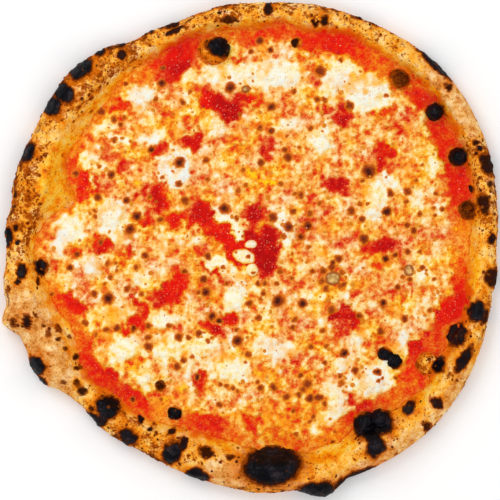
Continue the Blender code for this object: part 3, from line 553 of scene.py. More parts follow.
class Dough:
    """The form of the dough, as heights over a plan."""

    WIDEST_HEIGHT = 6.5
    SHOULDER_SHARE = 0.46
    INSIDE_FALL = 1.25
    LIFT_FROM = -22.0
    LIFT_TURN = 84.0
    FOOT_FADE = 0.86
    DENT = 0.6
    DENT_LENGTH = 13.0
    BLISTER_EDGE = 1.6
    BLISTER_ROUNDNESS = 0.8
    CROWN_WANDER = 1.2
    CROWN_WANDERS_ROUND = 4.0
    CROWN_LAYER = 3.5
    FILM_CLIMB = 3.9
    FILM_WAVES = ((10.0, 2.0), (4.5, 1.2), (2.2, 0.5))
    FILM_UNDER_BLISTER = 0.6
    BUBBLE_WAVES = ((4.0, 0.07),)

    def __init__(self) -> None:
        """Work out the crown's wander once round the pizza."""
        self.grain = Grain(11)
        self.turns = np.arange(0.0, 361.0, 1.0)
        around = np.radians(self.turns)
        size = self.CROWN_WANDERS_ROUND
        self.wander = np.array([
            noise.noise(Vector((math.cos(a) * size, math.sin(a) * size, self.CROWN_LAYER))) for a in around])

    def outer(self, angle: Field) -> Field:
        """Reach of the dough's outer edge."""
        return swelled(OUTER_MEAN, OUTER_SWELLS, angle)

    def inner(self, angle: Field) -> Field:
        """Reach of the line where the rim meets the bed."""
        return swelled(INNER_MEAN, INNER_SWELLS, angle)

    def crown(self, angle: Field) -> Field:
        """Height of the rim's top."""
        width = self.outer(angle) - self.inner(angle)
        wander = np.interp(angle % 360.0, self.turns, self.wander)
        crown = swelled(CROWN_MEAN, CROWN_SWELLS, angle)
        return crown + CROWN_WIDTH_SHARE * width + self.CROWN_WANDER * wander

    def visible_edge(self, x: Field, y: Field) -> Field:
        """How far places lie inside the edge of the sauce on the rim's slope."""
        angle = np.degrees(np.arctan2(y, x))
        reach = self.inner(angle) + self.FILM_CLIMB
        edge = reach + self.grain.waves(self.FILM_WAVES, x, y) - np.hypot(x, y)
        for angle, reach, half_width, half_depth, _ in RIM_BLISTERS:
            turn = math.radians(angle)
            oval = Oval(reach * math.cos(turn), reach * math.sin(turn), half_depth, half_width, turn=angle)
            edge = np.minimum(edge, self.FILM_UNDER_BLISTER - oval.depth(x, y))
        return edge

    def blister(self, x: Field, y: Field) -> Field:
        """How far the rim's blisters lift the dough."""
        rise = np.zeros(x.shape)
        for angle, reach, half_width, half_depth, height in RIM_BLISTERS:
            turn = math.radians(angle)
            out = x * math.cos(turn) + y * math.sin(turn) - reach
            along = y * math.cos(turn) - x * math.sin(turn)
            away = (out / half_depth) ** 2 + (along / half_width) ** 2
            share = np.clip(1.0 - away / self.BLISTER_EDGE, 0.0, 1.0)
            rise = np.maximum(rise, height * share ** self.BLISTER_ROUNDNESS)
        return rise

    def dent(self, x: Field, y: Field) -> Field:
        """Low, broad dents and swellings of the dough."""
        return self.DENT * self.grain.layered(self.DENT_LENGTH, 2, x, y)

    def _bubble_ways(self, x: Field, y: Field) -> Iterator[tuple[Field, float]]:
        """How far places lie from each bubble's middle, 1 at its foot, and the bubble's rise."""
        ragged = self.grain.waves(self.BUBBLE_WAVES, x, y)
        for bubble_x, bubble_y, half_x, half_y, rise in BED_BUBBLES:
            yield np.hypot((x - bubble_x) / half_x, (y - bubble_y) / half_y) + ragged, rise

    def bubbles(self, x: Field, y: Field) -> Field:
        """Height of the round bubbles on the bed, or zero away from them."""
        height = np.zeros(x.shape)
        for away, rise in self._bubble_ways(x, y):
            dome = BED + rise * np.sqrt(np.clip(1.0 - away ** 2, 0, 1))
            height = np.maximum(height, np.where(away < 1.0, dome, 0.0))
        return height

    def bubble_rings(self, x: Field, y: Field) -> Field:
        """How near places lie to the foot of a bubble, from 0 to 1."""
        ring = np.zeros(x.shape)
        for away, _ in self._bubble_ways(x, y):
            ring = np.maximum(ring, smooth(0.62, 0.88, away) * smooth(1.3, 1.02, away))
        return ring

    def slope(self, x: Field, y: Field) -> Field:
        """Height of the bed and of the rim's inner slope, without the bubbles."""
        angle = np.degrees(np.arctan2(y, x))
        outer = self.outer(angle)
        inner = self.inner(angle)
        top_reach = outer - self.SHOULDER_SHARE * (outer - inner)
        share = np.clip((np.hypot(x, y) - top_reach) / (inner - top_reach), 0.0, 1.0)
        fall = (0.5 + 0.5 * np.cos(np.pi * share)) ** self.INSIDE_FALL
        lift = np.clip((1.0 - share) / (1.0 - self.FOOT_FADE), 0.0, 1.0)
        return BED + (self.crown(angle) - BED) * fall + lift * (self.blister(x, y) + self.dent(x, y))


class Topping:
    """What lies where on the topping: cheese, oil, pinkness, browning and heights."""

    WHITE = 0.96
    ORANGE = 0.40
    RED = 0.03
    BASE = 0.575
    BROAD_SHARE = 0.18
    BROAD_LENGTH = 15.0
    PATCHES = ((6.0, 0.16),)
    COVERS = (
        (ORANGE_OVALS, ORANGE, 2.4), (WHITE_OVALS, WHITE, 2.8), (RED_OVALS, RED, 2.6),
        (RED_LINES, RED, 1.1), (WHITE_LINES, WHITE, 1.0),
    )
    SWAY_LENGTH = 8.0
    CURDS = ((4.6, 1.0), (2.3, 0.75))
    HALO = 1.9
    SPOT_SWELL = 0.93
    SPOT_WAVES = ((2.6, 0.7),)
    OIL_MEAN = 0.34
    PINK_MEAN = 0.45
    BROAD_PULP = ((7.0, 0.25),)
    FINE_PULP = ((2.8, 0.22), (1.5, 0.1))
    FILM_PULP = ((2.2, 0.1),)
    FILM_THICK = 0.45
    FILM_SINKS = 0.7
    FILM_FROM = 0.6
    MELT_THICK = 1.5
    WHITE_THICK = 0.3
    MELT_DIPS = 0.7
    DOME_SPREAD = 1.2

    def __init__(self, dough: Dough) -> None:
        """Keep the dough's form and draw the noises.

        Args:
            dough: the dough under the topping.
        """
        self.dough = dough
        self.broad = Grain(21)
        self.curd = Grain(22)
        self.sway = Grain(23)
        self.pulp = Grain(24)

    def _swayed(self, x: Field, y: Field, reach: float) -> tuple[Field, Field]:
        """Shift places a little, so that ovals get ragged edges."""
        east = self.sway.layered(self.SWAY_LENGTH, 4, x, y)
        north = self.sway.layered(self.SWAY_LENGTH, 4, x + 331.0, y - 127.0)
        return x + reach * east, y + reach * north

    @staticmethod
    def _stamp(field: Field, x: Field, y: Field, marks: Sequence[Oval | Line], target: float,
               soft: float) -> None:
        """Pull a field towards a value inside ovals or along lines.

        Args:
            field: the field, changed in place.
            x, y: places on the plan.
            marks: the ovals or lines.
            target: the value that the field is pulled to.
            soft: half width of the marks' soft edges.
        """
        for mark in marks:
            near = mark.near(x, y, soft)
            if near.size:
                share = mark.worth * smooth(-soft, soft, mark.depth(x[near], y[near]))
                field[near] += share * (target - field[near])

    def cheese(self, x: Field, y: Field) -> Field:
        """Work out how much cheese covers the sauce.

        Args:
            x, y: places on the plan.

        Returns:
            Cover from 0, bare sauce, to 1, thick white cheese.
        """
        near_x, near_y = self._swayed(x, y, 3.2)
        cover = (self.BASE + self.BROAD_SHARE * self.broad.layered(self.BROAD_LENGTH, 2, x, y)
                 + self.broad.waves(self.PATCHES, x + 50.0, y))
        for marks, target, soft in self.COVERS:
            self._stamp(cover, near_x, near_y, marks, target, soft)
        angle = np.degrees(np.arctan2(y, x))
        margin = swelled(CHEESE_MARGIN, CHEESE_MARGIN_SWELLS, angle)
        inside = self.dough.inner(angle) - margin - np.hypot(x, y)
        inside = inside + 2.6 * self.sway.layered(self.SWAY_LENGTH, 3, x - 71.0, y)
        redness = np.clip(swelled(EDGE_RED, EDGE_RED_SWELLS, angle), 0.0, 1.0)
        thin = smooth(4.5, 0.0, self.dough.visible_edge(x, y))
        bare = self.RED + 0.44 * (1.0 - redness) + 0.13 * thin * redness
        cheesy = smooth(-2.2, 3.4, inside)
        cover = bare + (cover - bare) * cheesy
        curds = self.curd.waves(self.CURDS, x, y) * (0.35 + 0.65 * cheesy)
        cover = cover + curds * (0.1 + 0.75 * np.clip(cover * (1.0 - cover), 0.0, 0.25))
        return np.clip(cover, 0.0, 1.0)

    @staticmethod
    def spots() -> Iterator[tuple[tuple[float, float, float], float]]:
        """Each browned spot and its darkness."""
        return ((spot, darkness) for darkness, spots in SPOTS.items() for spot in spots)

    def looks(self, x: Field, y: Field) -> dict[str, Field]:
        """Work out every field that the topping's material reads.

        Args:
            x, y: places on the plan.

        Returns:
            Named fields from 0 to 1.
        """
        near_x, near_y = self._swayed(x, y, 2.0)
        oil = self.OIL_MEAN + 0.5 * self.broad.layered(13.0, 3, x - 210.0, y + 33.0)
        self._stamp(oil, near_x, near_y, OIL_OVALS, 1.0, 1.8)
        spot_x, spot_y = self._swayed(x, y, 0.5)
        spot_x = spot_x + self.pulp.waves(self.SPOT_WAVES, x, y)
        spot_y = spot_y + self.pulp.waves(self.SPOT_WAVES, x + 60.0, y)
        brown = np.zeros(x.shape)
        dark = np.zeros(x.shape)
        for spot, darkness in self.spots():
            radius = spot[2] * self.SPOT_SWELL
            reach = radius * self.HALO
            near = np.flatnonzero((np.abs(spot_x - spot[0]) < reach) & (np.abs(spot_y - spot[1]) < reach))
            if not near.size:
                continue
            away = np.hypot(spot_x[near] - spot[0], spot_y[near] - spot[1]) / radius
            brown[near] = np.maximum(brown[near], smooth(1.55, 0.4, away) * (0.4 + 0.6 * darkness))
            dark[near] = np.maximum(dark[near], smooth(0.85, 0.1, away) * max(0.0, darkness - 0.5) * 1.8)
            oil[near] = np.maximum(oil[near], smooth(self.HALO, 0.8, away) * 0.5)
        edge = self.dough.visible_edge(x, y)
        oil = np.maximum(oil, 0.6 * smooth(5.0, 0.5, edge))
        pink = self.PINK_MEAN + 0.75 * self.broad.layered(18.0, 2, x + 401.0, y)
        self._stamp(pink, near_x, near_y, ROSY_OVALS, 0.95, 2.4)
        self._stamp(pink, near_x, near_y, WARM_OVALS, 0.05, 2.4)
        pink = pink * (0.35 + 0.65 * smooth(4.0, 16.0, edge))
        cheese = self.cheese(x, y)
        inside = smooth(3.0, 6.0, edge)
        patchy = smooth(-0.35, 0.5, self.broad.layered(12.0, 2, x + 77.0, y + 5.0))
        return {
            "cheese": cheese, "oil": oil, "pink": pink, "brown": brown, "dark": dark,
            "freckled": smooth(0.3, 0.5, cheese) * (0.25 + 0.75 * patchy) * (brown < 0.15) * inside,
            "beaded": smooth(0.45, 0.9, oil) * smooth(0.35, 0.6, cheese) * inside,
            "pulpy": smooth(0.16, 0.05, cheese) * inside,
        }

    def sauce_height(self, x: Field, y: Field, pulpy: float = 1.0) -> Field:
        """Height of the sauce, which climbs the rim's slope as a thin film.

        Args:
            x, y: places on the plan.
            pulpy: how much of the fine pulp shows, from 0 to 1.

        Returns:
            The height of each place.
        """
        flat = SAUCE_TOP + self.pulp.waves(self.BROAD_PULP, x, y)
        flat = flat + pulpy * self.pulp.waves(self.FINE_PULP, x, y)
        edge = self.dough.visible_edge(x, y)
        film = (self.dough.slope(x, y) + self.FILM_THICK * smooth(0.0, 5.5, edge)
                - self.FILM_SINKS * smooth(0.4, -1.4, edge))
        film = film + pulpy * self.pulp.waves(self.FILM_PULP, x, y)
        lower = flat - 4.0 * smooth(0.6, -1.6, edge)
        return np.where(film > BED + self.FILM_FROM, np.maximum(lower, film), flat)

    def melt_height(self, x: Field, y: Field) -> Field:
        """Height of the sheet of melted cheese, which dips under the sauce where it is bare."""
        cover = self.cheese(x, y)
        thick = (self.MELT_THICK * smooth(0.14, 0.75, cover) + self.WHITE_THICK * smooth(0.8, 1.0, cover)
                 - self.MELT_DIPS * smooth(0.26, 0.08, cover))
        return self.sauce_height(x, y, 0.3) + thick + self.spot_rise(x, y)

    def spot_rise(self, x: Field, y: Field) -> Field:
        """How far the browned blisters of cheese stand up."""
        rise = np.zeros(x.shape)
        for (spot_x, spot_y, radius), darkness in self.spots():
            reach = radius * self.DOME_SPREAD
            near = np.flatnonzero((np.abs(x - spot_x) < reach) & (np.abs(y - spot_y) < reach))
            if near.size:
                away = np.hypot(x[near] - spot_x, y[near] - spot_y) / reach
                dome = np.clip(1.0 - away ** 2, 0.0, 1.0) ** 0.7
                rise[near] = np.maximum(rise[near], dome * radius * (0.15 + 0.12 * darkness))
        return rise


@dataclass
class Sheet:
    """A closed sheet over a plan: a grid on top, walls at its edge and a flat floor.

    Attributes:
        inside: gives a value above zero at each place that the sheet covers.
        top: gives the height of the sheet's top at each place.
        floor: height of the flat floor.
        spacing: size of the grid's cells.
        box: lowest and highest x, lowest and highest y of the plan.
    """

    inside: Callable[[Field, Field], Field]
    top: Callable[[Field, Field], Field]
    floor: float
    spacing: float
    box: tuple[float, float, float, float]

    SMOOTHINGS = 4

    def _cells(self) -> tuple[Field, Field, Field]:
        """The grid's lines along X and Y and which cells are kept, none touching only at a corner."""
        lines_x = np.arange(self.box[0], self.box[1] + self.spacing, self.spacing)
        lines_y = np.arange(self.box[2], self.box[3] + self.spacing, self.spacing)
        middle_x, middle_y = np.meshgrid(lines_x[:-1] + self.spacing / 2, lines_y[:-1] + self.spacing / 2)
        kept = self.inside(middle_x.ravel(), middle_y.ravel()).reshape(middle_x.shape) > 0.0
        kept[0, :] = kept[-1, :] = False
        kept[:, 0] = kept[:, -1] = False
        while True:
            falling = kept[:-1, :-1] & kept[1:, 1:] & ~kept[:-1, 1:] & ~kept[1:, :-1]
            rising = kept[:-1, 1:] & kept[1:, :-1] & ~kept[:-1, :-1] & ~kept[1:, 1:]
            if not falling.any() and not rising.any():
                return lines_x, lines_y, kept
            kept[:-1, 1:] |= falling
            kept[:-1, :-1] |= rising

    def build(self, name: str) -> bpy.types.Object:
        """Make the sheet.

        Args:
            name: the new object's name.

        Returns:
            The object, in metres.
        """
        lines_x, lines_y, kept = self._cells()
        rows, columns = np.nonzero(kept)
        wide = len(lines_x)
        corners = rows * wide + columns
        quads = np.stack([corners, corners + 1, corners + wide + 1, corners + wide], 1)
        used, quads = np.unique(quads, return_inverse=True)
        quads = quads.reshape(-1, 4)
        x = lines_x[used % wide]
        y = lines_y[used // wide]
        sides = np.sort(np.concatenate([quads[:, [i, (i + 1) % 4]] for i in range(4)]), 1)
        pairs, counts = np.unique(sides, axis=0, return_counts=True)
        edge = pairs[counts == 1]
        rim = np.unique(edge)
        for _ in range(self.SMOOTHINGS):
            for axis in (x, y):
                total = np.zeros(len(axis))
                np.add.at(total, edge[:, 0], axis[edge[:, 1]])
                np.add.at(total, edge[:, 1], axis[edge[:, 0]])
                axis[rim] = 0.5 * axis[rim] + 0.25 * total[rim]
        heights = np.maximum(self.top(x, y), self.floor + 0.05)
        mesh = bpy.data.meshes.new(name)
        mesh.from_pydata((np.stack([x, y, heights], 1) * MILLIMETRE).tolist(), [], quads.tolist())
        work = bmesh.new()
        work.from_mesh(mesh)
        border = [e for e in work.edges if e.is_boundary]
        made = bmesh.ops.extrude_edge_only(work, edges=border)["geom"]
        low = [v for v in made if isinstance(v, bmesh.types.BMVert)]
        for vertex in low:
            vertex.co.z = self.floor * MILLIMETRE
        lowest = set(low)
        floor_edges = [e for e in made if isinstance(e, bmesh.types.BMEdge) and set(e.verts) <= lowest]
        bmesh.ops.triangle_fill(work, use_beauty=True, edges=floor_edges, normal=(0, 0, -1))
        bmesh.ops.recalc_face_normals(work, faces=work.faces)
        work.to_mesh(mesh)
        work.free()
        mesh.shade_smooth()
        return placed(name, mesh)


def plan_of(mesh: bpy.types.Mesh) -> tuple[Field, Field, Field]:
    """Read a mesh's vertices as places in millimetres."""
    flat = np.zeros(len(mesh.vertices) * 3)
    mesh.vertices.foreach_get("co", flat)
    places = flat.reshape(-1, 3) / MILLIMETRE
    return places[:, 0], places[:, 1], places[:, 2]


def store(mesh: bpy.types.Mesh, fields: dict[str, Field]) -> None:
    """Keep named fields on a mesh's vertices.

    Args:
        mesh: the mesh that carries them.
        fields: one value per vertex for each name.
    """
    for name, values in fields.items():
        layer = mesh.attributes.new(name, "FLOAT", "POINT")
        layer.data.foreach_set("value", np.clip(values, 0.0, 1.0).astype(np.float32))


Value = "Sock | float"


def maths(operation: str, swapped: bool = False) -> Callable[["Sock", Value], "Sock"]:
    """Make an operator of a node's output.

    Args:
        operation: the Math node's operation.
        swapped: true where the output is the second of the two values.

    Returns:
        The operator, which adds a Math node.
    """
    def operator(self: "Sock", other: Value) -> "Sock":
        """Add the node."""
        values = {0: other, 1: self} if swapped else {0: self, 1: other}
        return self.bench.node("ShaderNodeMath", {"operation": operation}, values).out(0)
    return operator


class Sock:
    """A node's output whose operators add Math nodes."""

    __add__ = __radd__ = maths("ADD")
    __mul__ = __rmul__ = maths("MULTIPLY")
    __sub__ = maths("SUBTRACT")
    __rsub__ = maths("SUBTRACT", swapped=True)
    larger = maths("MAXIMUM")

    def __init__(self, bench: "Bench", link: bpy.types.NodeSocket) -> None:
        """Wrap an output of a node on a bench."""
        self.bench = bench
        self.link = link

    def clamped(self) -> "Sock":
        """The value held between 0 and 1."""
        return self.bench.node("ShaderNodeClamp", {}, {"Value": self}).out("Result")

    def eased(self, low: float, high: float) -> "Sock":
        """Ease from 0 at a low value to 1 at a high value."""
        sockets = {"Value": self, "From Min": low, "From Max": high}
        if low > high:
            sockets = {"Value": self, "From Min": high, "From Max": low, "To Min": 1.0, "To Max": 0.0}
        settings = {"interpolation_type": "SMOOTHSTEP"}
        return self.bench.node("ShaderNodeMapRange", settings, sockets).out("Result")


def picked(sockets: Sequence[bpy.types.NodeSocket], key: str | int) -> bpy.types.NodeSocket:
    """Find a socket by its number, or by its name among those in use."""
    if isinstance(key, int):
        return sockets[key]
    return next(socket for socket in sockets if socket.name == key and socket.enabled)


class Made:
    """A node on a bench, whose outputs are read by name or number."""

    def __init__(self, bench: "Bench", node: bpy.types.Node) -> None:
        """Wrap a node."""
        self.bench = bench
        self.node = node

    def out(self, key: str | int) -> Sock:
        """One of the node's outputs."""
        return Sock(self.bench, picked(self.node.outputs, key))


class Bench:
    """Builds the nodes of one tree."""

    def __init__(self, tree: bpy.types.NodeTree) -> None:
        """Start on a tree."""
        self.tree = tree

    def node(self, kind: str, settings: dict | None = None, sockets: dict | None = None) -> Made:
        """Add a node.

        Args:
            kind: the node's type.
            settings: its properties, and "stops" for a ramp's places and colours.
            sockets: values or links of its inputs, by name or number.

        Returns:
            The node, wrapped.
        """
        node = self.tree.nodes.new(kind)
        for key, value in (settings or {}).items():
            if key == "stops":
                ramp = node.color_ramp
                while len(ramp.elements) < len(value):
                    ramp.elements.new(0.5)
                for element, (place, colour) in zip(ramp.elements, value):
                    element.position = place
                    element.color = colour
            else:
                setattr(node, key, value)
        self.wire(node, sockets or {})
        return Made(self, node)

    def wire(self, node: bpy.types.Node, sockets: dict) -> None:
        """Give a node's inputs, by name or number, their values or links."""
        for key, value in sockets.items():
            socket = picked(node.inputs, key)
            if isinstance(value, Sock):
                self.tree.links.new(value.link, socket)
            else:
                socket.default_value = value

    def field(self, name: str) -> Sock:
        """A named field of the mesh."""
        return self.node("ShaderNodeAttribute", {"attribute_name": name}).out("Fac")

    def place(self) -> Sock:
        """The place on the object, in metres."""
        return self.node("ShaderNodeTexCoord").out("Object")

    def grain(self, place: Sock, length: float, detail: float = 2.0, rough: float = 0.55) -> Sock:
        """Noise whose bumps are about a length in millimetres."""
        scale = 1.0 / (length * MILLIMETRE)
        sockets = {"Vector": place, "Scale": scale, "Detail": detail, "Roughness": rough}
        return self.node("ShaderNodeTexNoise", {}, sockets).out("Fac")

    def swing(self, place: Sock, length: float, detail: float = 2.0, rough: float = 0.55) -> Sock:
        """The same noise, from about -0.5 to 0.5."""
        return self.grain(place, length, detail, rough) - 0.5

    def vector(self, operation: str, first: Sock, second: "Sock | tuple[float, float, float]") -> Sock:
        """Join two vectors by a Vector Math node."""
        return self.node("ShaderNodeVectorMath", {"operation": operation}, {0: first, 1: second}).out(0)

    def shaken(self, place: Sock, length: float, reach: float) -> Sock:
        """Shift places by noise, so that the shapes read there get ragged outlines."""
        sockets = {"Vector": place, "Scale": 1.0 / (length * MILLIMETRE), "Detail": 2.0}
        sway = self.node("ShaderNodeTexNoise", {}, sockets).out("Color")
        size = reach * 2.0 * MILLIMETRE
        sway = self.vector("MULTIPLY", self.vector("SUBTRACT", sway, HALF), (size, size, size))
        return self.vector("ADD", place, sway)

    def cells(self, place: Sock, length: float) -> Made:
        """Scattered cells about a length in millimetres apart."""
        return self.node("ShaderNodeTexVoronoi", {}, {"Vector": place, "Scale": 1.0 / (length * MILLIMETRE)})

    def luck(self, cells: Made) -> Sock:
        """A number from 0 to 1 for each cell."""
        return self.node("ShaderNodeSeparateColor", {}, {"Color": cells.out("Color")}).out("Red")

    def dots(self, place: Sock, length: float, few: tuple[float, float], rim: tuple[float, float],
             ragged: Value = 0.0) -> Sock:
        """Scatter dots over some of the cells.

        Args:
            place: the place on the object.
            length: how far the cells lie apart in millimetres.
            few: luck at which a cell's dot starts to show, and at which it shows in full.
            rim: distance from a dot's middle at which it starts, and at which it is full.
            ragged: what is added to that distance.

        Returns:
            How much of a dot there is.
        """
        cells = self.cells(place, length)
        return (cells.out("Distance") + ragged).eased(*rim) * self.luck(cells).eased(*few)

    def ramp(self, value: Sock, stops: Sequence[tuple[float, Colour]]) -> Sock:
        """Colours along a value."""
        return self.node("ShaderNodeValToRGB", {"stops": stops}, {"Fac": value}).out("Color")

    def mixed(self, share: Value, low: "Sock | Colour", high: "Sock | Colour", blend: str = "MIX") -> Sock:
        """Mix two colours."""
        settings = {"data_type": "RGBA", "blend_type": blend, "clamp_factor": True}
        return self.node("ShaderNodeMix", settings, {0: share, 6: low, 7: high}).out(2)

    def coated(self, colour: Sock, mask: Sock, coats: Sequence[Coat]) -> Sock:
        """Lay coats of colour over another.

        Args:
            colour: the colour below.
            mask: what says where the coats lie.
            coats: for each, the mask where it starts and where it is full, its strength and its colour.

        Returns:
            The colour with its coats.
        """
        for low, high, strength, coat in coats:
            colour = self.mixed(mask.eased(low, high) * strength, colour, coat)
        return colour

    def bumped(self, relief: Sock, height: float) -> Sock:
        """The normal of a fine relief of some height in millimetres."""
        sockets = {"Strength": 1.0, "Distance": height * MILLIMETRE, "Height": relief}
        return self.node("ShaderNodeBump", {}, sockets).out("Normal")


class Surface(Bench):
    """A new material and the bench that builds its nodes."""

    def __init__(self, name: str) -> None:
        """Start the material.

        Args:
            name: its name.
        """
        self.material = bpy.data.materials.new(name)
        self.material.use_nodes = True
        super().__init__(self.material.node_tree)

    def shade(self, sockets: dict) -> bpy.types.Material:
        """Give the shader its values and links, and return the material."""
        self.wire(self.tree.nodes["Principled BSDF"], sockets)
        return self.material


@dataclass(frozen=True)
class ToppingFinish:
    """How wet, soft and rough one layer of the topping is.

    Attributes:
        name: the material's name.
        roughness: mean roughness.
        gloss: specular level.
        milky: share of light that goes through the surface.
        bump: height of the fine relief in millimetres.
    """

    name: str
    roughness: float
    gloss: float
    milky: float
    bump: float

    WARM = stops(
        (0.0, 226, 14, 0), (0.1, 230, 26, 0), (0.2, 232, 60, 0), (0.3, 232, 98, 0),
        (0.4, 238, 130, 0), (0.5, 246, 160, 8), (0.62, 251, 190, 48), (0.74, 253, 216, 108),
        (0.86, 253, 234, 166), (1.0, 251, 245, 216),
    )
    ROSY = stops(
        (0.0, 164, 0, 2), (0.1, 196, 4, 2), (0.2, 214, 38, 12), (0.3, 222, 78, 30),
        (0.4, 231, 118, 56), (0.5, 240, 158, 90), (0.62, 247, 190, 126), (0.74, 249, 214, 162),
        (0.86, 247, 230, 200), (1.0, 240, 243, 234),
    )
    YELLOW = paint(255, 186, 6)
    PURE_YELLOW = paint(255, 206, 0)
    RING = paint(226, 124, 0)
    RUSSET = paint(190, 86, 0)
    BROWN = paint(138, 46, 0)
    DARK = paint(62, 16, 0)
    FRECKLE = paint(204, 104, 0)
    HAZE = paint(222, 122, 8)
    GRAIN = paint(238, 150, 110)
    CLOT = paint(170, 6, 0)
    BROWNING = ((0.26, 0.48, 0.97, RUSSET), (0.5, 0.78, 0.97, BROWN))
    SINGEING = ((0.2, 0.6, 0.95, DARK),)
    LIGHT_REACH = (1.0, 0.5, 0.25)
    LIGHT_DEPTH = 0.0012

    def make(self) -> bpy.types.Material:
        """Build the material.

        Returns:
            The material.
        """
        bench = Surface(self.name)
        place = bench.place()
        middling = bench.swing(place, 3.4)
        fine = bench.swing(place, 1.1, 2.0, 0.6)
        cheese = bench.field("cheese")
        unsettled = (cheese * (1.0 - cheese)) * 1.7 + 0.13
        amount = (cheese + (middling * 1.3 + fine * 1.1) * unsettled).clamped()
        rosy = (bench.field("pink") + middling * 0.8).clamped()
        colour = bench.mixed(rosy, bench.ramp(amount, self.WARM), bench.ramp(amount, self.ROSY))
        colour = self._oiled(bench, colour, amount, middling, fine)
        clots = (bench.swing(place, 5.2, 3.0, 0.65) * 3.4 + fine * 1.2).eased(0.1, 0.8)
        colour = bench.mixed(clots * amount.eased(0.28, 0.1) * 0.6, colour, self.CLOT)
        grains = bench.dots(place, 1.6, (0.45, 0.6), (0.34, 0.16)) * amount.eased(0.24, 0.06)
        colour = bench.mixed(grains * 0.4, colour, self.GRAIN)
        haze = (bench.swing(place, 6.0, 3.0, 0.65) * 3.4 + fine * 0.9).eased(0.3, 0.95)
        hazy = haze * cheese.eased(0.2, 0.45) * cheese.eased(1.0, 0.72) * 0.6
        colour = bench.mixed(hazy, colour, self.HAZE)
        freckle = bench.dots(place, 3.0, (0.35, 0.6), (0.3, 0.1), fine * 0.4) * amount.eased(0.2, 0.5)
        colour = bench.mixed(freckle * (haze * 0.6 + 0.3), colour, self.FRECKLE)
        fleck = bench.dots(place, 1.5, (0.55, 0.7), (0.36, 0.14), middling * 0.5) * amount.eased(0.16, 0.4)
        colour = bench.mixed(fleck * (haze * 0.45 + 0.35), colour, self.RUSSET)
        brown = (bench.field("brown") + fine * 0.55).clamped()
        colour = bench.mixed(brown.eased(0.05, 0.25) * cheese.eased(0.1, 0.3) * 0.95, colour, self.RING)
        colour = bench.coated(colour, brown, self.BROWNING)
        colour = bench.coated(colour, (bench.field("dark") + fine * 0.5).clamped(), self.SINGEING)
        return bench.shade({
            "Base Color": colour, "Roughness": (self.roughness + fine * 0.3 + brown * 0.35).clamped(),
            "Specular IOR Level": self.gloss, "Subsurface Weight": self.milky,
            "Subsurface Radius": self.LIGHT_REACH, "Subsurface Scale": self.LIGHT_DEPTH,
            "Normal": bench.bumped(middling * 0.6 + fine * 0.5, self.bump),
        })

    def _oiled(self, bench: Surface, colour: Sock, amount: Sock, middling: Sock, fine: Sock) -> Sock:
        """Stain the cheese with oil, and pool pure yellow oil where there is most.

        Args:
            bench: the material's bench.
            colour: the colour below.
            amount: how much cheese there is.
            middling: noise about as coarse as curds.
            fine: finer noise.

        Returns:
            The colour with its oil.
        """
        oil = bench.field("oil")
        oily = (oil + fine * 0.5).eased(0.42, 0.95) * amount.eased(0.18, 0.5) * 0.85
        colour = bench.mixed(oily, colour, self.YELLOW, "MULTIPLY")
        colour = bench.mixed(oily * 0.35, colour, self.YELLOW)
        pure = oil.eased(0.84, 1.0) * (middling + fine + 0.5).eased(0.3, 0.5)
        return bench.mixed(pure * amount.eased(0.2, 0.45) * 0.9, colour, self.PURE_YELLOW)


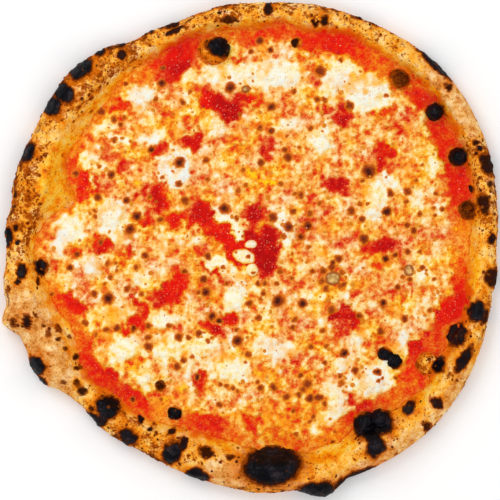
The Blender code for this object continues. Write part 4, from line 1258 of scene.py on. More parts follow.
@dataclass(frozen=True)
class CrustFinish:
    """Baked dough: floured or golden, oily inside, toasted, and charred on its blisters.

    Attributes:
        name: the material's name.
        roughness: roughness of the dry dough.
        bump: height of the fine relief in millimetres.
    """

    name: str
    roughness: float
    bump: float

    GOLD = stops(
        (0.0, 230, 110, 6), (0.3, 248, 156, 30), (0.6, 255, 194, 78), (1.0, 255, 226, 158),
    )
    FLOUR = stops(
        (0.0, 164, 82, 20), (0.3, 216, 138, 56), (0.62, 246, 186, 106), (1.0, 255, 234, 178),
    )
    OILY = stops(
        (0.0, 232, 92, 0), (0.3, 250, 144, 2), (0.58, 255, 188, 26), (1.0, 255, 224, 112),
    )
    STAIN = paint(228, 62, 0)
    ORANGE = paint(238, 122, 8)
    TAN = paint(204, 98, 8)
    RUSSET = paint(186, 82, 4)
    TOAST = paint(132, 54, 2)
    BURNT = paint(44, 14, 2)
    CHAR = stops(
        (0.0, 0, 0, 3), (0.5, 7, 6, 12), (0.78, 20, 17, 24), (1.0, 46, 38, 42),
    )
    UNDER = stops(
        (0.0, 150, 90, 44), (0.45, 206, 152, 96), (1.0, 240, 212, 172),
    )
    CRACKLE_LENGTHS = (6.5, 3.4, 1.9)
    CRACKLE_LUCK = 0.82
    CRACKLE = ((-0.22, 0.0, 0.8, RUSSET), (-0.08, 0.06, 0.85, TOAST), (0.04, 0.16, 0.9, BURNT))
    SPECKLE = ((0.42, 0.66, 0.8, RUSSET), (0.64, 0.9, 0.9, TOAST), (0.98, 1.25, 0.92, BURNT))
    BLOTCHES = ((0.55, 0.95, 0.6, RUSSET), (0.85, 1.15, 0.85, TOAST), (1.15, 1.45, 0.85, BURNT))
    HALO = ((0.02, 0.25, 0.6, ORANGE), (0.12, 0.45, 0.8, RUSSET))
    CHARRING = ((0.04, 0.3, 0.9, TOAST), (0.34, 0.6, 0.95, BURNT))
    GLOSS = 0.03
    COAT_ROUGHNESS = 0.24

    def make(self) -> bpy.types.Material:
        """Build the material.

        Returns:
            The material.
        """
        bench = Surface(self.name)
        place = bench.place()
        broad = bench.swing(place, 9.0, 3.0)
        middling = bench.swing(place, 3.2, 3.0, 0.6)
        fine = bench.swing(place, 1.1, 3.0, 0.65)
        tone = (broad * 2.0 + middling * 1.1 + fine * 1.4 + 0.52).clamped()
        floured = (bench.field("floured") + middling * 0.9).eased(0.2, 0.8)
        oily = (bench.field("oily") + middling * 0.7).eased(0.25, 0.75)
        colour = bench.mixed(floured, bench.ramp(tone, self.GOLD), bench.ramp(tone, self.FLOUR))
        colour = bench.mixed(oily, colour, bench.ramp(tone, self.OILY))
        stain = bench.field("stain")
        colour = bench.mixed(stain.eased(0.05, 0.5) * 0.7, colour, self.ORANGE)
        colour = bench.mixed((stain + fine * 0.6).eased(0.3, 0.9) * 0.85, colour, self.STAIN)
        singed = bench.field("singed")
        # The toasted field also carries painted shade of the steep outer wall along the dough's outer edge.
        toasted = bench.field("toasted").larger(singed * 0.9) * (1.0 - oily * 0.7) * (1.0 - floured * 0.6)
        colour = self._toasted(bench, colour, (middling, fine, floured, oily, toasted))
        under = bench.field("under")
        colour = bench.mixed(under, colour, bench.ramp(tone, self.UNDER))
        patches = (broad * 3.0 + fine * 0.9).eased(0.42, 0.7)
        colour = bench.mixed(under * patches * 0.85, colour, self.BURNT)
        torn = middling * 0.4 + fine * 0.4
        colour = bench.coated(colour, singed * 0.8 + torn * 1.3, self.HALO)
        char = bench.field("char") + torn
        colour = bench.coated(colour, char, self.CHARRING)
        black = char.eased(0.6, 0.88)
        colour = bench.mixed(black, colour, bench.ramp(tone, self.CHAR))
        rough = self.roughness - black * 0.26 - oily * 0.3 + fine * 0.25
        return bench.shade({
            "Base Color": colour, "Roughness": rough.clamped(), "Specular IOR Level": self.GLOSS,
            "Coat Weight": black * 0.1 + oily * 0.2,
            "Coat Roughness": self.COAT_ROUGHNESS,
            "Normal": bench.bumped(middling * 0.5 + fine * 0.5 + black * 0.3, self.bump),
        })

    def _toasted(self, bench: Surface, colour: Sock, parts: tuple[Sock, ...]) -> Sock:
        """Brown the dough: a tan wash, crackle, speckle and blotches.

        Args:
            bench: the material's bench.
            colour: the colour of the raw dough.
            parts: middling and fine noise, then how floured, oily and toasted the dough is; the toasting
                includes painted shade along the outer edge.

        Returns:
            The browned colour.
        """
        middling, fine, floured, oily, toasted = parts
        place = bench.place()
        veins = bench.swing(place, 5.2, 4.0, 0.7)
        tan = (veins * 2.6 + middling * 1.4 + toasted * 0.7).eased(0.35, 1.0)
        colour = bench.mixed(tan * 0.4, colour, self.TAN)
        shaken = bench.shaken(place, 2.2, 1.6)
        for length in self.CRACKLE_LENGTHS:
            cells = bench.cells(shaken, length)
            lucky = (bench.luck(cells) - self.CRACKLE_LUCK + toasted * 0.36).clamped()
            colour = bench.coated(colour, lucky - cells.out("Distance") + fine * 0.35, self.CRACKLE)
        mottled = (veins * 2.2 + fine * 0.8 + floured * 0.25).eased(0.15, 0.75)
        colour = bench.mixed(mottled * floured * 0.6, colour, self.TAN)
        crowd = veins * 2.3 + toasted * 0.53 - oily * 0.4 - floured * 0.12
        speckle = bench.swing(place, 1.5, 3.0, 0.7) * 2.8 + middling * 0.8 + crowd
        colour = bench.coated(colour, speckle, self.SPECKLE)
        blotch = bench.swing(shaken, 4.4, 3.0, 0.65) * 3.4 + fine * 1.8 + toasted * 0.42
        return bench.coated(colour, blotch, self.BLOTCHES)


def dress(piece: bpy.types.Object, material: bpy.types.Material, slot: str, *nodes: str) -> bpy.types.Object:
    """Give a piece its material and its body, and hide the solids that it stands for."""
    piece.data.materials.clear()
    piece.data.materials.append(material)
    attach(piece, BODY)
    if nodes:
        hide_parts(*nodes)
    log.info("%s: %d vertices, %d faces", piece.name, len(piece.data.vertices), len(piece.data.polygons))
    return piece


@dataclass
class Crust:
    """The dough: a flat bed inside a puffed rim, with blisters and bubbles.

    Attributes:
        dough: the form of the dough.
        steps_around: steps round the rim.
        outside_steps: steps up the outside of the rim.
        inside_steps: steps down the inside of the rim.
        bed_steps: steps from the rim to the plain middle of the bed.
        bed_reach: reach of the plain middle.
        cap_from: height above which the tallest places are held down.
        cap_room: how far above it they may still rise.
    """

    dough: Dough
    steps_around: int = 1020
    outside_steps: int = 28
    inside_steps: int = 22
    bed_steps: int = 32
    bed_reach: float = 95.0
    cap_from: float = 23.6
    cap_room: float = 1.9

    # How softly the edges of the marks fade, and how far they wander.
    CHAR_EDGE = (0.32, 1.2)
    SINGED_EDGE = (1.1, 2.2)
    FLAKING_EDGE = (1.3, 2.6)
    TOASTED_EDGE = (0.4, 2.0)
    FLOURED_EDGE = (0.4, 2.5)
    OILY_EDGE = (0.35, 2.0)

    def _rings(self) -> tuple[Field, Field, Field]:
        """Angle, reach and height of each place of the crust before its blisters and relief."""
        angle = (np.arange(self.steps_around) * 360.0 / self.steps_around)[:, None]
        outer = self.dough.outer(angle)
        inner = self.dough.inner(angle)
        crown = self.dough.crown(angle)
        shoulder = self.dough.SHOULDER_SHARE * (outer - inner)
        top_reach = outer - shoulder
        turn = np.radians(np.linspace(-90.0, 90.0, self.outside_steps))[None, :]
        up = np.sin(turn)
        wide = self.dough.WIDEST_HEIGHT
        outside = np.where(up > 0.0, wide + (crown - wide) * up, wide * (1.0 + up))
        share = np.linspace(0.0, 1.0, self.inside_steps + 1)[None, 1:]
        fall = (0.5 + 0.5 * np.cos(np.pi * share)) ** self.dough.INSIDE_FALL
        inside = BED + (crown - BED) * fall
        run = np.linspace(0.0, 1.0, self.bed_steps + 1)[None, 1:]
        bed = inner + (self.bed_reach - inner) * run
        up_reach = top_reach + shoulder * np.cos(turn)
        down_reach = top_reach + (inner - top_reach) * share
        reach = np.concatenate([up_reach, down_reach, bed], 1)
        height = np.concatenate([outside, inside, np.full(bed.shape, BED)], 1)
        return np.broadcast_to(angle, reach.shape), reach, height

    def _lift(self) -> Field:
        """How much of its blisters and dents each ring takes."""
        turn = np.linspace(-90.0, 90.0, self.outside_steps)
        outside = np.clip((turn - self.dough.LIFT_FROM) / self.dough.LIFT_TURN, 0.0, 1.0)
        share = np.linspace(0.0, 1.0, self.inside_steps + 1)[1:]
        inside = np.clip((1.0 - share) / (1.0 - self.dough.FOOT_FADE), 0.0, 1.0)
        return np.concatenate([outside, inside, np.zeros(self.bed_steps)])

    def scorched(self, x: Field, y: Field, places: Sequence[Sequence[float]], soft: float,
                 sway: float) -> Field:
        """Darkness of the places given by ranges of angle and reach.

        Args:
            x, y: places on the plan.
            places: ranges of angle and reach, and a strength.
            soft: share of a place's size over which it fades.
            sway: how far its edges wander, in millimetres.

        Returns:
            The strength at each place.
        """
        east = x + sway * self.dough.grain.layered(5.0, 3, x, y)
        north = y + sway * self.dough.grain.layered(5.0, 3, x + 90.0, y)
        angle = np.degrees(np.arctan2(north, east)) % 360.0
        reach = np.hypot(east, north)
        value = np.zeros(x.shape)
        for low, high, nearest, furthest, strength in places:
            along = ((angle - (low + high) / 2 + 180.0) % 360.0 - 180.0) / ((high - low) / 2)
            out = (reach - (nearest + furthest) / 2) / ((furthest - nearest) / 2)
            value = np.maximum(value, strength * smooth(1.0 + soft, 1.0 - soft, np.hypot(along, out)))
        return value

    def build(self) -> bpy.types.Object:
        """Make the crust.

        Returns:
            The closed crust with its fields.
        """
        angle, reach, height = self._rings()
        turn = np.radians(angle)
        x = reach * np.cos(turn)
        y = reach * np.sin(turn)
        lift = self._lift()[None, :]
        height = height + lift * (self.dough.blister(x, y) + self.dough.dent(x, y))
        height = np.maximum(height, self.dough.bubbles(x, y))
        past_edge = reach - self.dough.outer(angle)
        toasted = self.scorched(x, y, TOASTED, *self.TOASTED_EDGE)
        char = self._char(x, y, height, toasted * smooth(-4.5, -1.2, past_edge))
        rough = self._roughness(x, y, height, char, toasted * smooth(-7.0, -1.0, past_edge))
        places = np.stack([x, y, height], -1)
        ring = np.arange(places.shape[1])[None, :]
        relief = smooth(1.0, 5.0, ring) * smooth(places.shape[1] - 3.0, places.shape[1] - 12.0, ring)
        on_bed = smooth(-1.0, 2.0, height - BED - 0.8)
        places = places + self._outwards(places) * (rough * relief * (0.25 + 0.75 * on_bed))[..., None]
        places[..., 2] = np.maximum(places[..., 2], 0.0)
        over = np.maximum(places[..., 2] - self.cap_from, 0.0)
        places[..., 2] -= over - self.cap_room * np.tanh(over / self.cap_room)
        rings = places.shape[1]
        index = np.arange(self.steps_around * rings).reshape(self.steps_around, rings)
        after = np.roll(index, -1, 0)
        quads = np.stack([index[:, :-1], after[:, :-1], after[:, 1:], index[:, 1:]], -1)
        quads = quads.reshape(-1, 4).tolist()
        quads.append(index[::-1, 0].tolist())
        quads.append(index[:, -1].tolist())
        mesh = bpy.data.meshes.new("baked_crust")
        mesh.from_pydata((places.reshape(-1, 3) * MILLIMETRE).tolist(), [], quads)
        mesh.shade_smooth()
        self._store(mesh, char.ravel())
        return placed("baked_crust", mesh)

    def _char(self, x: Field, y: Field, height: Field, edge: Field) -> Field:
        """How charred the crust is.

        Args:
            x, y, height: places on the crust.
            edge: how toasted the outer edge is.

        Returns:
            The char of each place, from 0 to 1.
        """
        grain = self.dough.grain
        char = self.scorched(x, y, SCORCHES, *self.CHAR_EDGE)
        near_x = x + 0.8 * grain.layered(3.0, 2, x, y)
        near_y = y + 0.8 * grain.layered(3.0, 2, x + 90.0, y)
        for speck_x, speck_y, half, darkness in SPECKS:
            away = np.hypot(near_x - speck_x, near_y - speck_y) / half
            char = np.maximum(char, darkness * smooth(1.4, 0.6, away))
        patchy = smooth(-0.05, 0.45, grain.layered(6.0, 3, x + 12.0, y, 1.6 * height))
        return np.maximum(char, edge * patchy * 0.62)

    def _roughness(self, x: Field, y: Field, height: Field, char: Field, fringe: Field) -> Field:
        """How far the crust's uneven skin stands out.

        Args:
            x, y, height: places on the crust.
            char: how charred they are.
            fringe: how jagged the outer edge is.

        Returns:
            The relief of each place.
        """
        grain = self.dough.grain
        rough = 0.42 * grain.at(6.0, x, y, height) + 0.26 * grain.at(2.9, x, y, height + 40.0)
        blistered = 0.3 + 0.75 * grain.at(3.4, x + 50.0, y, height) + 0.4 * grain.at(1.9, x, y + 50.0, height)
        jagged = 0.7 * grain.at(4.2, x, y - 20.0, height) + 0.4 * grain.at(2.1, x, y - 70.0, height)
        return rough + char * blistered + fringe * jagged

    @staticmethod
    def _outwards(places: Field) -> Field:
        """The direction out of the crust at each place of its rings."""
        ahead = np.roll(places, -1, 0) - np.roll(places, 1, 0)
        out = np.cross(ahead, np.gradient(places, axis=1))
        return out / np.maximum(np.linalg.norm(out, axis=-1, keepdims=True), 1e-9)

    def _store(self, mesh: bpy.types.Mesh, char: Field) -> None:
        """Keep the crust's fields of colour on its mesh."""
        x, y, z = plan_of(mesh)
        reach = np.hypot(x, y)
        angle = np.degrees(np.arctan2(y, x))
        edge = reach - (self.dough.inner(angle) + self.dough.FILM_CLIMB)
        near_edge = smooth(7.0, 0.5, edge)
        redness = np.clip(swelled(EDGE_RED, EDGE_RED_SWELLS, angle), 0.0, 1.0)
        patchy = smooth(-0.5, 0.4, self.dough.grain.layered(10.0, 2, x - 40.0, y))
        oily = np.maximum(self.scorched(x, y, OILY, *self.OILY_EDGE), (0.15 + 0.6 * patchy) * near_edge)
        toasted = self.scorched(x, y, TOASTED, *self.TOASTED_EDGE)
        bubble = smooth(0.0, 1.0, self.dough.bubbles(x, y) - self.dough.slope(x, y))
        clear = 1.0 - bubble
        # A band 4 mm inside the outer edge, browned partly as real toasting and partly as painted shade of
        # the steep outer wall.
        edge_toast_and_wall_shade = smooth(-4.0, 0.0, reach - self.dough.outer(angle))
        film = smooth(6.0, -0.5, edge + 1.8 * self.dough.grain.layered(6.0, 2, x, y)) * clear
        flaking = self.scorched(x, y, SCORCHES, *self.FLAKING_EDGE) * 0.7 + 0.45 * edge_toast_and_wall_shade * toasted
        unburnt = 1.0 - 0.9 * smooth(0.45, 0.75, char)
        floured = self.scorched(x, y, FLOURED, *self.FLOURED_EDGE)
        store(mesh, {
            "char": char,
            "floured": np.maximum(floured, 0.5 * smooth(6.0, 2.0, z)),
            "oily": oily * smooth(0.5, 3.0, z) * clear,
            "stain": np.maximum(film * (0.12 + 0.88 * redness), 0.6 * self.dough.bubble_rings(x, y)),
            # toasted: real toasting, plus painted shade of the steep outer wall in the band inside the outer
            # edge.
            "toasted": np.maximum(np.maximum(toasted, 0.55 * edge_toast_and_wall_shade) * smooth(-1.0, 4.0, edge), 0.8 * bubble),
            "singed": self.scorched(x, y, SCORCHES, *self.SINGED_EDGE) * smooth(2.0, 4.0, z),
            "under": smooth(3.0, 0.4, z),
            "flaking": np.clip(flaking, 0.0, 1.0) * smooth(3.0, 5.0, z) * unburnt,
        })


@dataclass
class Layer:
    """A layer of the topping over the whole bed.

    Attributes:
        topping: the fields of the topping.
        spacing: size of its grid's cells.
        half_span: half the size of its grid.
    """

    topping: Topping
    spacing: float
    half_span: float

    def _spread(self, name: str, inside: Callable, top: Callable, floor: float) -> bpy.types.Object:
        """Make the layer and keep the topping's fields on it."""
        span = self.half_span
        layer = Sheet(inside, top, floor, self.spacing, (-span, span, -span, span)).build(name)
        x, y, _ = plan_of(layer.data)
        store(layer.data, self.topping.looks(x, y))
        return layer


@dataclass
class Sauce(Layer):
    """The bed of tomato sauce, which climbs the rim as a film."""

    spacing: float = 1.15
    half_span: float = 152.0
    tuck: float = 1.6

    def build(self) -> bpy.types.Object:
        """Make the sauce, its edge tucked under the dough."""
        return self._spread("crushed_tomato", lambda x, y: self.topping.dough.visible_edge(x, y) + self.tuck,
                            self.topping.sauce_height, SAUCE_FLOOR)


@dataclass
class Melt(Layer):
    """The sheet of melted mozzarella, open where there is less cheese than the thinnest."""

    spacing: float = 0.85
    half_span: float = 150.0
    thinnest: float = 0.13

    def _inside(self, x: Field, y: Field) -> Field:
        """Above zero where the sheet lies."""
        return np.minimum(self.topping.cheese(x, y) - self.thinnest, self.topping.dough.visible_edge(x, y))

    def build(self) -> bpy.types.Object:
        """Make the sheet."""
        return self._spread("melted_mozzarella", self._inside, self.topping.melt_height, MELT_FLOOR)


@dataclass
class Patch:
    """A small closed piece over an oval of the topping.

    Attributes:
        topping: the fields that it shares with the layers below it.
        oval: its outline, and its rise as the oval's worth.
        spacing: size of its grid's cells.
        skirt: how far its hidden foot reaches past the outline.
        room: how far its grid reaches past the outline.
    """

    topping: Topping
    oval: Oval
    spacing: float
    skirt: float
    room: float

    FLOOR = MELT_FLOOR + 0.3

    def _depth(self, x: Field, y: Field) -> Field:
        """How far places lie inside the piece's outline."""
        return self.oval.depth(x, y)

    def _top(self, x: Field, y: Field) -> Field:
        """Height of the piece."""
        return self.topping.melt_height(x, y)

    def _raise(self, name: str) -> tuple[bpy.types.Object, Field, Field]:
        """Make the closed piece, and give back where its vertices lie too."""
        reach = max(self.oval.half_x, self.oval.half_y) + self.room
        box = (self.oval.x - reach, self.oval.x + reach, self.oval.y - reach, self.oval.y + reach)
        sheet = Sheet(lambda x, y: self._depth(x, y) + self.skirt, self._top, self.FLOOR, self.spacing, box)
        piece = sheet.build(name)
        x, y, _ = plan_of(piece.data)
        return piece, x, y


@dataclass
class Pool(Patch):
    """One thick pool of mozzarella."""

    spacing: float = 0.8
    skirt: float = 1.5
    room: float = 3.0

    RAGGED = 1.3
    WAVE_LENGTH = 4.2

    def _depth(self, x: Field, y: Field) -> Field:
        """How far places lie inside the pool's ragged outline."""
        return self.oval.depth(x, y) + self.RAGGED * self.topping.sway.at(self.WAVE_LENGTH, x + 17.0, y)

    def _top(self, x: Field, y: Field) -> Field:
        """Height of the pool, which eases down into the sheet."""
        depth = self._depth(x, y)
        ground = self.topping.melt_height(x, y)
        return ground + 0.7 * self.oval.worth * smooth(-0.8, 5.0, depth) - 0.5 * smooth(0.0, -1.4, depth)

    def looks(self, x: Field, y: Field) -> dict[str, Field]:
        """The fields of the pool's look."""
        return self.topping.looks(x, y)

    def build(self, name: str) -> bpy.types.Object:
        """Make the pool with its fields."""
        piece, x, y = self._raise(name)
        store(piece.data, self.looks(x, y))
        return piece


@dataclass
class Crumb(Pool):
    """One crumb of mozzarella on bare sauce, with a clean edge."""

    RAGGED = 0.35

    def _top(self, x: Field, y: Field) -> Field:
        """Height of the crumb, which stands on the sauce."""
        depth = self._depth(x, y)
        ground = self.topping.sauce_height(x, y, 0.0)
        return ground + (self.oval.worth + 0.4) * smooth(-0.9, 1.5, depth) - 0.8 * smooth(-0.4, -1.3, depth)

    def looks(self, x: Field, y: Field) -> dict[str, Field]:
        """The fields of the crumb's look: cheese, whatever lies round it."""
        fields = self.topping.looks(x, y)
        fields["cheese"] = np.maximum(fields["cheese"], 0.9 * smooth(-0.6, 0.5, self._depth(x, y)))
        return fields


@dataclass
class Bubble(Patch):
    """A see-through bubble of cheese with a browned foot."""

    spacing: float = 0.5
    skirt: float = 0.8
    room: float = 2.0

    def _depth(self, x: Field, y: Field) -> Field:
        """How far places lie inside the bubble's outline."""
        return self.oval.depth(x, y) + 0.25 * self.topping.sway.at(2.6, x - 9.0, y)

    def _top(self, x: Field, y: Field) -> Field:
        """Height of the bubble, a dome over the sheet."""
        share = np.clip(self._depth(x, y) / min(self.oval.half_x, self.oval.half_y), 0.0, 1.0)
        dome = self.oval.worth * np.sqrt(np.clip(1.0 - (1.0 - share) ** 2, 0.0, 1.0))
        return self.topping.melt_height(x, y) - 0.5 + 0.5 * smooth(-0.6, 0.3, self._depth(x, y)) + dome

    def build(self, name: str) -> bpy.types.Object:
        """Make the bubble with the fields of its look."""
        piece, x, y = self._raise(name)
        foot = self._depth(x, y) + 0.9 * self.topping.pulp.at(2.0, x, y)
        # luck mixes a pale and a dark colour in blotches; the pale blotches are partly painted highlight on
        # the see-through cheese.
        luck = 0.5 + 0.8 * self.topping.pulp.at(2.6, x, y)
        store(piece.data, {"crest": smooth(3.4, 0.2, foot), "luck": luck})
        return piece


class Shape(Enum):
    """The shapes of what is strewn over the pizza."""

    CHIP = "angular chip"
    DOME = "round dome"


@dataclass(frozen=True)
class StrewnFinish:
    """The look of small strewn things, each a little different.

    Attributes:
        name: the material's name.
        low: colour of some of them.
        high: colour of the others.
        top: colour of their tops.
        topped: how much of the tops takes that colour, from 0 to 1.
        roughness: how rough they are.
        gloss: specular level.
    """

    name: str
    low: Screen
    high: Screen
    top: Screen
    topped: float
    roughness: float
    gloss: float

    def make(self) -> bpy.types.Material:
        """Build the material."""
        bench = Surface(self.name)
        grain = bench.swing(bench.place(), 0.8)
        luck = (bench.field("luck") + grain * 0.5).clamped()
        colour = bench.mixed(luck, paint(*self.low), paint(*self.high))
        crest = (bench.field("crest") + grain * 0.6).eased(0.45, 0.85)
        return bench.shade({
            "Base Color": bench.mixed(crest * self.topped, colour, paint(*self.top)),
            "Roughness": self.roughness, "Specular IOR Level": self.gloss,
        })


@dataclass(frozen=True)
class Strewn:
    """Small things of one kind, strewn over a layer by geometry nodes.

    Attributes:
        name: the piece's name.
        shape: the shape of each thing.
        field: the layer's field that says where they lie.
        density: how many lie on a square centimetre where the field is 1.
        apart: the least distance between two of them.
        smallest: half width of the smallest.
        largest: half width of the largest.
        flatness: height as a share of the half width.
        ragged: how far their outlines wander.
        seed: the number that settles where they lie.
    """

    name: str
    shape: Shape
    field: str
    density: float
    apart: float
    smallest: float
    largest: float
    flatness: float
    ragged: float
    seed: int

    WAVE = 1.1 * MILLIMETRE
    STORE = "GeometryNodeStoreNamedAttribute"

    def _sizes(self) -> dict[str, float]:
        """The tree's named inputs and their values, in metres."""
        return {
            "Density": self.density * 10000.0, "Apart": self.apart * MILLIMETRE,
            "Smallest": self.smallest * MILLIMETRE, "Largest": self.largest * MILLIMETRE,
            "Flatness": self.flatness, "Ragged": self.ragged * MILLIMETRE,
        }

    def _drawn(self, bench: Bench, low: float, high: float, seed: int) -> Sock:
        """A random number for each thing."""
        return bench.node("FunctionNodeRandomValue", {"data_type": "FLOAT"},
                          {"Min": low, "Max": high, "Seed": seed}).out("Value")

    def _tree(self, material: bpy.types.Material) -> bpy.types.NodeTree:
        """Build the tree of geometry nodes.

        Args:
            material: the material of the strewn things.

        Returns:
            The tree, which takes a layer and gives back only the strewn things.
        """
        tree = bpy.data.node_groups.new(f"{self.name}_tree", "GeometryNodeTree")
        tree.interface.new_socket("Geometry", in_out="INPUT", socket_type="NodeSocketGeometry")
        for name in self._sizes():
            tree.interface.new_socket(name, in_out="INPUT", socket_type="NodeSocketFloat")
        tree.interface.new_socket("Seed", in_out="INPUT", socket_type="NodeSocketInt")
        tree.interface.new_socket("Geometry", in_out="OUTPUT", socket_type="NodeSocketGeometry")
        bench = Bench(tree)
        given = bench.node("NodeGroupInput")
        favour = bench.node("GeometryNodeInputNamedAttribute", {"data_type": "FLOAT"}, {"Name": self.field})
        points = bench.node("GeometryNodeDistributePointsOnFaces", {"distribute_method": "POISSON"}, {
            "Mesh": given.out("Geometry"), "Distance Min": given.out("Apart"),
            "Density Max": given.out("Density"), "Density Factor": favour.out("Attribute"),
            "Seed": given.out("Seed"),
        })
        if self.shape is Shape.CHIP:
            solid = bench.node("GeometryNodeMeshIcoSphere", {}, {"Radius": 1.0, "Subdivisions": 1})
        else:
            solid = bench.node("GeometryNodeMeshUVSphere", {}, {"Segments": 8, "Rings": 5, "Radius": 1.0})
        place = bench.node("GeometryNodeInputPosition").out("Position")
        height = bench.node("ShaderNodeSeparateXYZ", {}, {0: place}).out("Z")
        solid = bench.node(self.STORE, {"data_type": "FLOAT", "domain": "POINT"},
                           {"Geometry": solid.out("Mesh"), "Name": "crest", "Value": height})
        size = self._drawn(bench, 0.0, 1.0, 3)
        size = given.out("Smallest") + (given.out("Largest") - given.out("Smallest")) * (size * size)
        scale = bench.node("ShaderNodeCombineXYZ", {}, {
            "X": size, "Y": size * self._drawn(bench, 0.65, 1.0, 4), "Z": size * given.out("Flatness")})
        about = bench.node("ShaderNodeCombineXYZ", {}, {"Z": self._drawn(bench, 0.0, 2.0 * math.pi, 5)})
        turned = bench.node("FunctionNodeRotateRotation", {"rotation_space": "LOCAL"},
                            {"Rotation": points.out("Rotation"), "Rotate By": about.out("Vector")})
        copies = bench.node("GeometryNodeInstanceOnPoints", {}, {
            "Points": points.out("Points"), "Instance": solid.out("Geometry"),
            "Rotation": turned.out("Rotation"), "Scale": scale.out("Vector"),
        })
        copies = bench.node(self.STORE, {"data_type": "FLOAT", "domain": "INSTANCE"}, {
            "Geometry": copies.out("Instances"), "Name": "luck", "Value": self._drawn(bench, 0.0, 1.0, 6)})
        real = bench.node("GeometryNodeRealizeInstances", {}, {"Geometry": copies.out("Geometry")})
        sway = bench.node("ShaderNodeTexNoise", {}, {"Vector": place, "Scale": 1.0 / self.WAVE}).out("Color")
        sway = bench.node("ShaderNodeVectorMath", {"operation": "SCALE"},
                          {0: bench.vector("SUBTRACT", sway, HALF), "Scale": given.out("Ragged")}).out(0)
        bent = bench.node("GeometryNodeSetPosition", {}, {"Geometry": real.out("Geometry"), "Offset": sway})
        soft = bench.node("GeometryNodeSetShadeSmooth", {}, {
            "Geometry": bent.out("Geometry"), "Shade Smooth": self.shape is Shape.DOME})
        sockets = {"Geometry": soft.out("Geometry"), "Material": material}
        painted = bench.node("GeometryNodeSetMaterial", {}, sockets)
        bench.node("NodeGroupOutput", {}, {"Geometry": painted.out("Geometry")})
        return tree

    def build(self, layer: bpy.types.Object, material: bpy.types.Material) -> bpy.types.Object:
        """Strew the things over a layer.

        Args:
            layer: the finished layer that they lie on.
            material: their material.

        Returns:
            All of them as one plain mesh.
        """
        piece = placed(self.name, layer.data.copy())
        modifier = piece.modifiers.new("strewn", "NODES")
        modifier.node_group = self._tree(material)
        values = self._sizes() | {"Seed": self.seed}
        for item in modifier.node_group.interface.items_tree:
            if item.in_out == "INPUT" and item.name in values:
                modifier[item.identifier] = values[item.name]
        graph = bpy.context.evaluated_depsgraph_get()
        mesh = bpy.data.meshes.new_from_object(piece.evaluated_get(graph))
        piece.modifiers.clear()
        layer_copy = piece.data
        piece.data = mesh
        bpy.data.meshes.remove(layer_copy)
        mesh.name = self.name
        return piece


@dataclass
class Studio:
    """A pale floor, soft lights and a camera straight above."""

    floor_half: float = 9.0
    floor_drop: float = 0.0002
    distance: float = 2.6
    field_width: float = 0.31
    focus_height: float = 0.010
    camera_x: float = 0.0003
    camera_y: float = -0.0009
    sensor: float = 36.0
    light_distance: float = 1.7
    sky_strength: float = 0.5

    # The lights: name, azimuth, elevation, power, size.
    LIGHTS = (
        ("key", 130.0, 50.0, 9.5, 1.0), ("fill", 310.0, 47.0, 5.2, 1.2),
        ("left", 220.0, 47.0, 4.8, 1.2), ("right", 40.0, 47.0, 4.8, 1.2),
    )
    PAPER = (0.98, 0.98, 0.98, 1.0)
    SKY = (1.0, 1.0, 1.0, 1.0)

    def floor(self) -> None:
        """Lay the floor."""
        half = self.floor_half
        mesh = bpy.data.meshes.new("studio_floor")
        corners = [(-half, -half, 0), (half, -half, 0), (half, half, 0), (-half, half, 0)]
        mesh.from_pydata(corners, [], [(0, 1, 2, 3)])
        floor = placed("studio_floor", mesh)
        paper = Surface("floor_paper")
        sockets = {"Base Color": self.PAPER, "Roughness": 1.0, "Specular IOR Level": 0.0}
        mesh.materials.append(paper.shade(sockets))
        floor.location.z = -self.floor_drop

    def lights(self) -> None:
        """Hang four soft boxes round the pizza and a pale sky."""
        for name, azimuth, elevation, power, size in self.LIGHTS:
            data = bpy.data.lights.new(name, "AREA")
            data.energy = power
            data.shape = "SQUARE"
            data.size = size
            lamp = placed(name, data)
            around = math.radians(azimuth)
            up = math.radians(elevation)
            away = Vector((math.cos(around) * math.cos(up), math.sin(around) * math.cos(up), math.sin(up)))
            turned = away.to_track_quat("Z", "Y").to_matrix().to_4x4()
            lamp.matrix_world = Matrix.Translation(away * self.light_distance) @ turned
        world = bpy.data.worlds.new("sky")
        world.use_nodes = True
        background = world.node_tree.nodes["Background"]
        background.inputs["Color"].default_value = self.SKY
        background.inputs["Strength"].default_value = self.sky_strength
        bpy.context.scene.world = world
        bpy.context.scene.view_settings.view_transform = "Standard"

    def camera(self) -> None:
        """Set the camera."""
        data = bpy.data.cameras.new("camera")
        data.sensor_width = self.sensor
        data.lens = self.sensor * (self.distance - self.focus_height) / self.field_width
        data.clip_end = 20.0
        camera = placed("camera", data)
        camera.location = (self.camera_x, self.camera_y, self.distance)
        bpy.context.scene.camera = camera


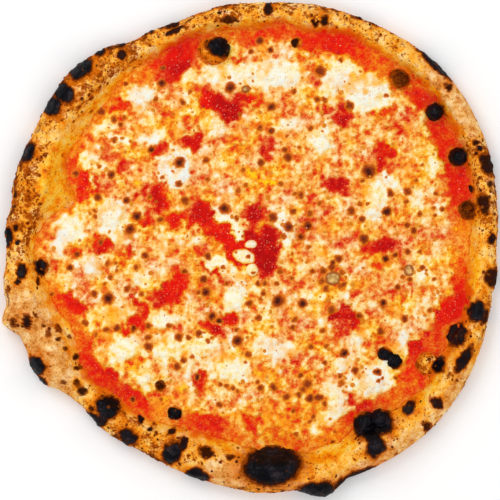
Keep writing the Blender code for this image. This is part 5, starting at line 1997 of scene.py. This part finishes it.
STREWN = (
    (Strewn("char_flakes", Shape.CHIP, "flaking", 24.0, 0.9, 0.25, 1.5, 0.4, 0.8, 41),
     StrewnFinish("char_flake_look", (74, 28, 4), (156, 74, 10), (34, 12, 4), 0.5, 0.75, 0.06),
     "crust", "baked_dough"),
    (Strewn("cheese_blisters", Shape.DOME, "freckled", 3.0, 2.4, 0.7, 1.8, 0.28, 0.7, 42),
     StrewnFinish("cheese_blister_look", (246, 176, 60), (226, 130, 22), (208, 108, 10), 0.6, 0.6, 0.08),
     "melt", "melted_cheese"),
    (Strewn("oil_beads", Shape.DOME, "beaded", 3.0, 2.4, 0.35, 0.9, 0.4, 0.1, 43),
     StrewnFinish("oil_bead_look", (255, 190, 20), (248, 158, 6), (255, 206, 40), 0.5, 0.15, 0.4),
     "melt", "melted_cheese"),
    (Strewn("tomato_pulp", Shape.DOME, "pulpy", 9.0, 1.5, 0.4, 1.3, 0.4, 0.7, 44),
     StrewnFinish("tomato_pulp_look", (232, 26, 2), (176, 2, 0), (214, 14, 0), 0.4, 0.25, 0.25),
     "sauce", "tomato_sauce"),
    (Strewn("curd_grains", Shape.CHIP, "pulpy", 5.0, 1.6, 0.18, 0.5, 0.6, 0.2, 45),
     StrewnFinish("curd_grain_look", (228, 110, 84), (244, 190, 150), (246, 206, 170), 0.4, 0.4, 0.15),
     "sauce", "mozzarella"),
)


def main() -> None:
    """Build the pizza from the dough up, then the studio."""
    logging.basicConfig(level=logging.INFO, format="%(name)s %(message)s")
    dough = Dough()
    topping = Topping(dough)
    baked = CrustFinish("baked_dough_look", 0.78, 0.35).make()
    tomato = ToppingFinish("tomato_sauce_look", 0.24, 0.12, 0.0, 0.22).make()
    melted = ToppingFinish("melted_cheese_look", 0.3, 0.12, 0.05, 0.2).make()
    white = ToppingFinish("mozzarella_look", 0.3, 0.14, 0.08, 0.16).make()
    crust = dress(Crust(dough).build(), baked, "baked_dough", "crust")
    sauce = dress(Sauce(topping).build(), tomato, "tomato_sauce", "tomato_sauce")
    melt = dress(Melt(topping).build(), melted, "melted_cheese", "mozzarella_melt")
    for kind, name, places in ((Pool, "pool", POOLS), (Crumb, "crumb", CRUMBS)):
        for number, oval in enumerate(places, start=1):
            piece = kind(topping, oval).build(f"white_{name}_{number:02d}")
            dress(piece, white, "mozzarella", f"mozzarella_{name}_{number:02d}")
    # Pale colour first: partly painted highlight on the see-through bubbles; the dark colour and the browned
    # foot are the cheese's own.
    clear = StrewnFinish("cheese_bubble_look", (236, 190, 112), (160, 112, 44), (166, 80, 6), 0.9, 0.22, 0.3)
    clear = clear.make()
    for number, oval in enumerate(CLEAR_BUBBLES, start=1):
        dress(Bubble(topping, oval).build(f"cheese_bubble_{number:02d}"), clear, "melted_cheese")
    for strewn, finish, layer, slot in STREWN:
        host = {"crust": crust, "sauce": sauce, "melt": melt}[layer]
        material = finish.make()
        dress(strewn.build(host, material), material, slot)
    studio = Studio()
    studio.floor()
    studio.lights()
    studio.camera()


if __name__ == "__main__":
    main()
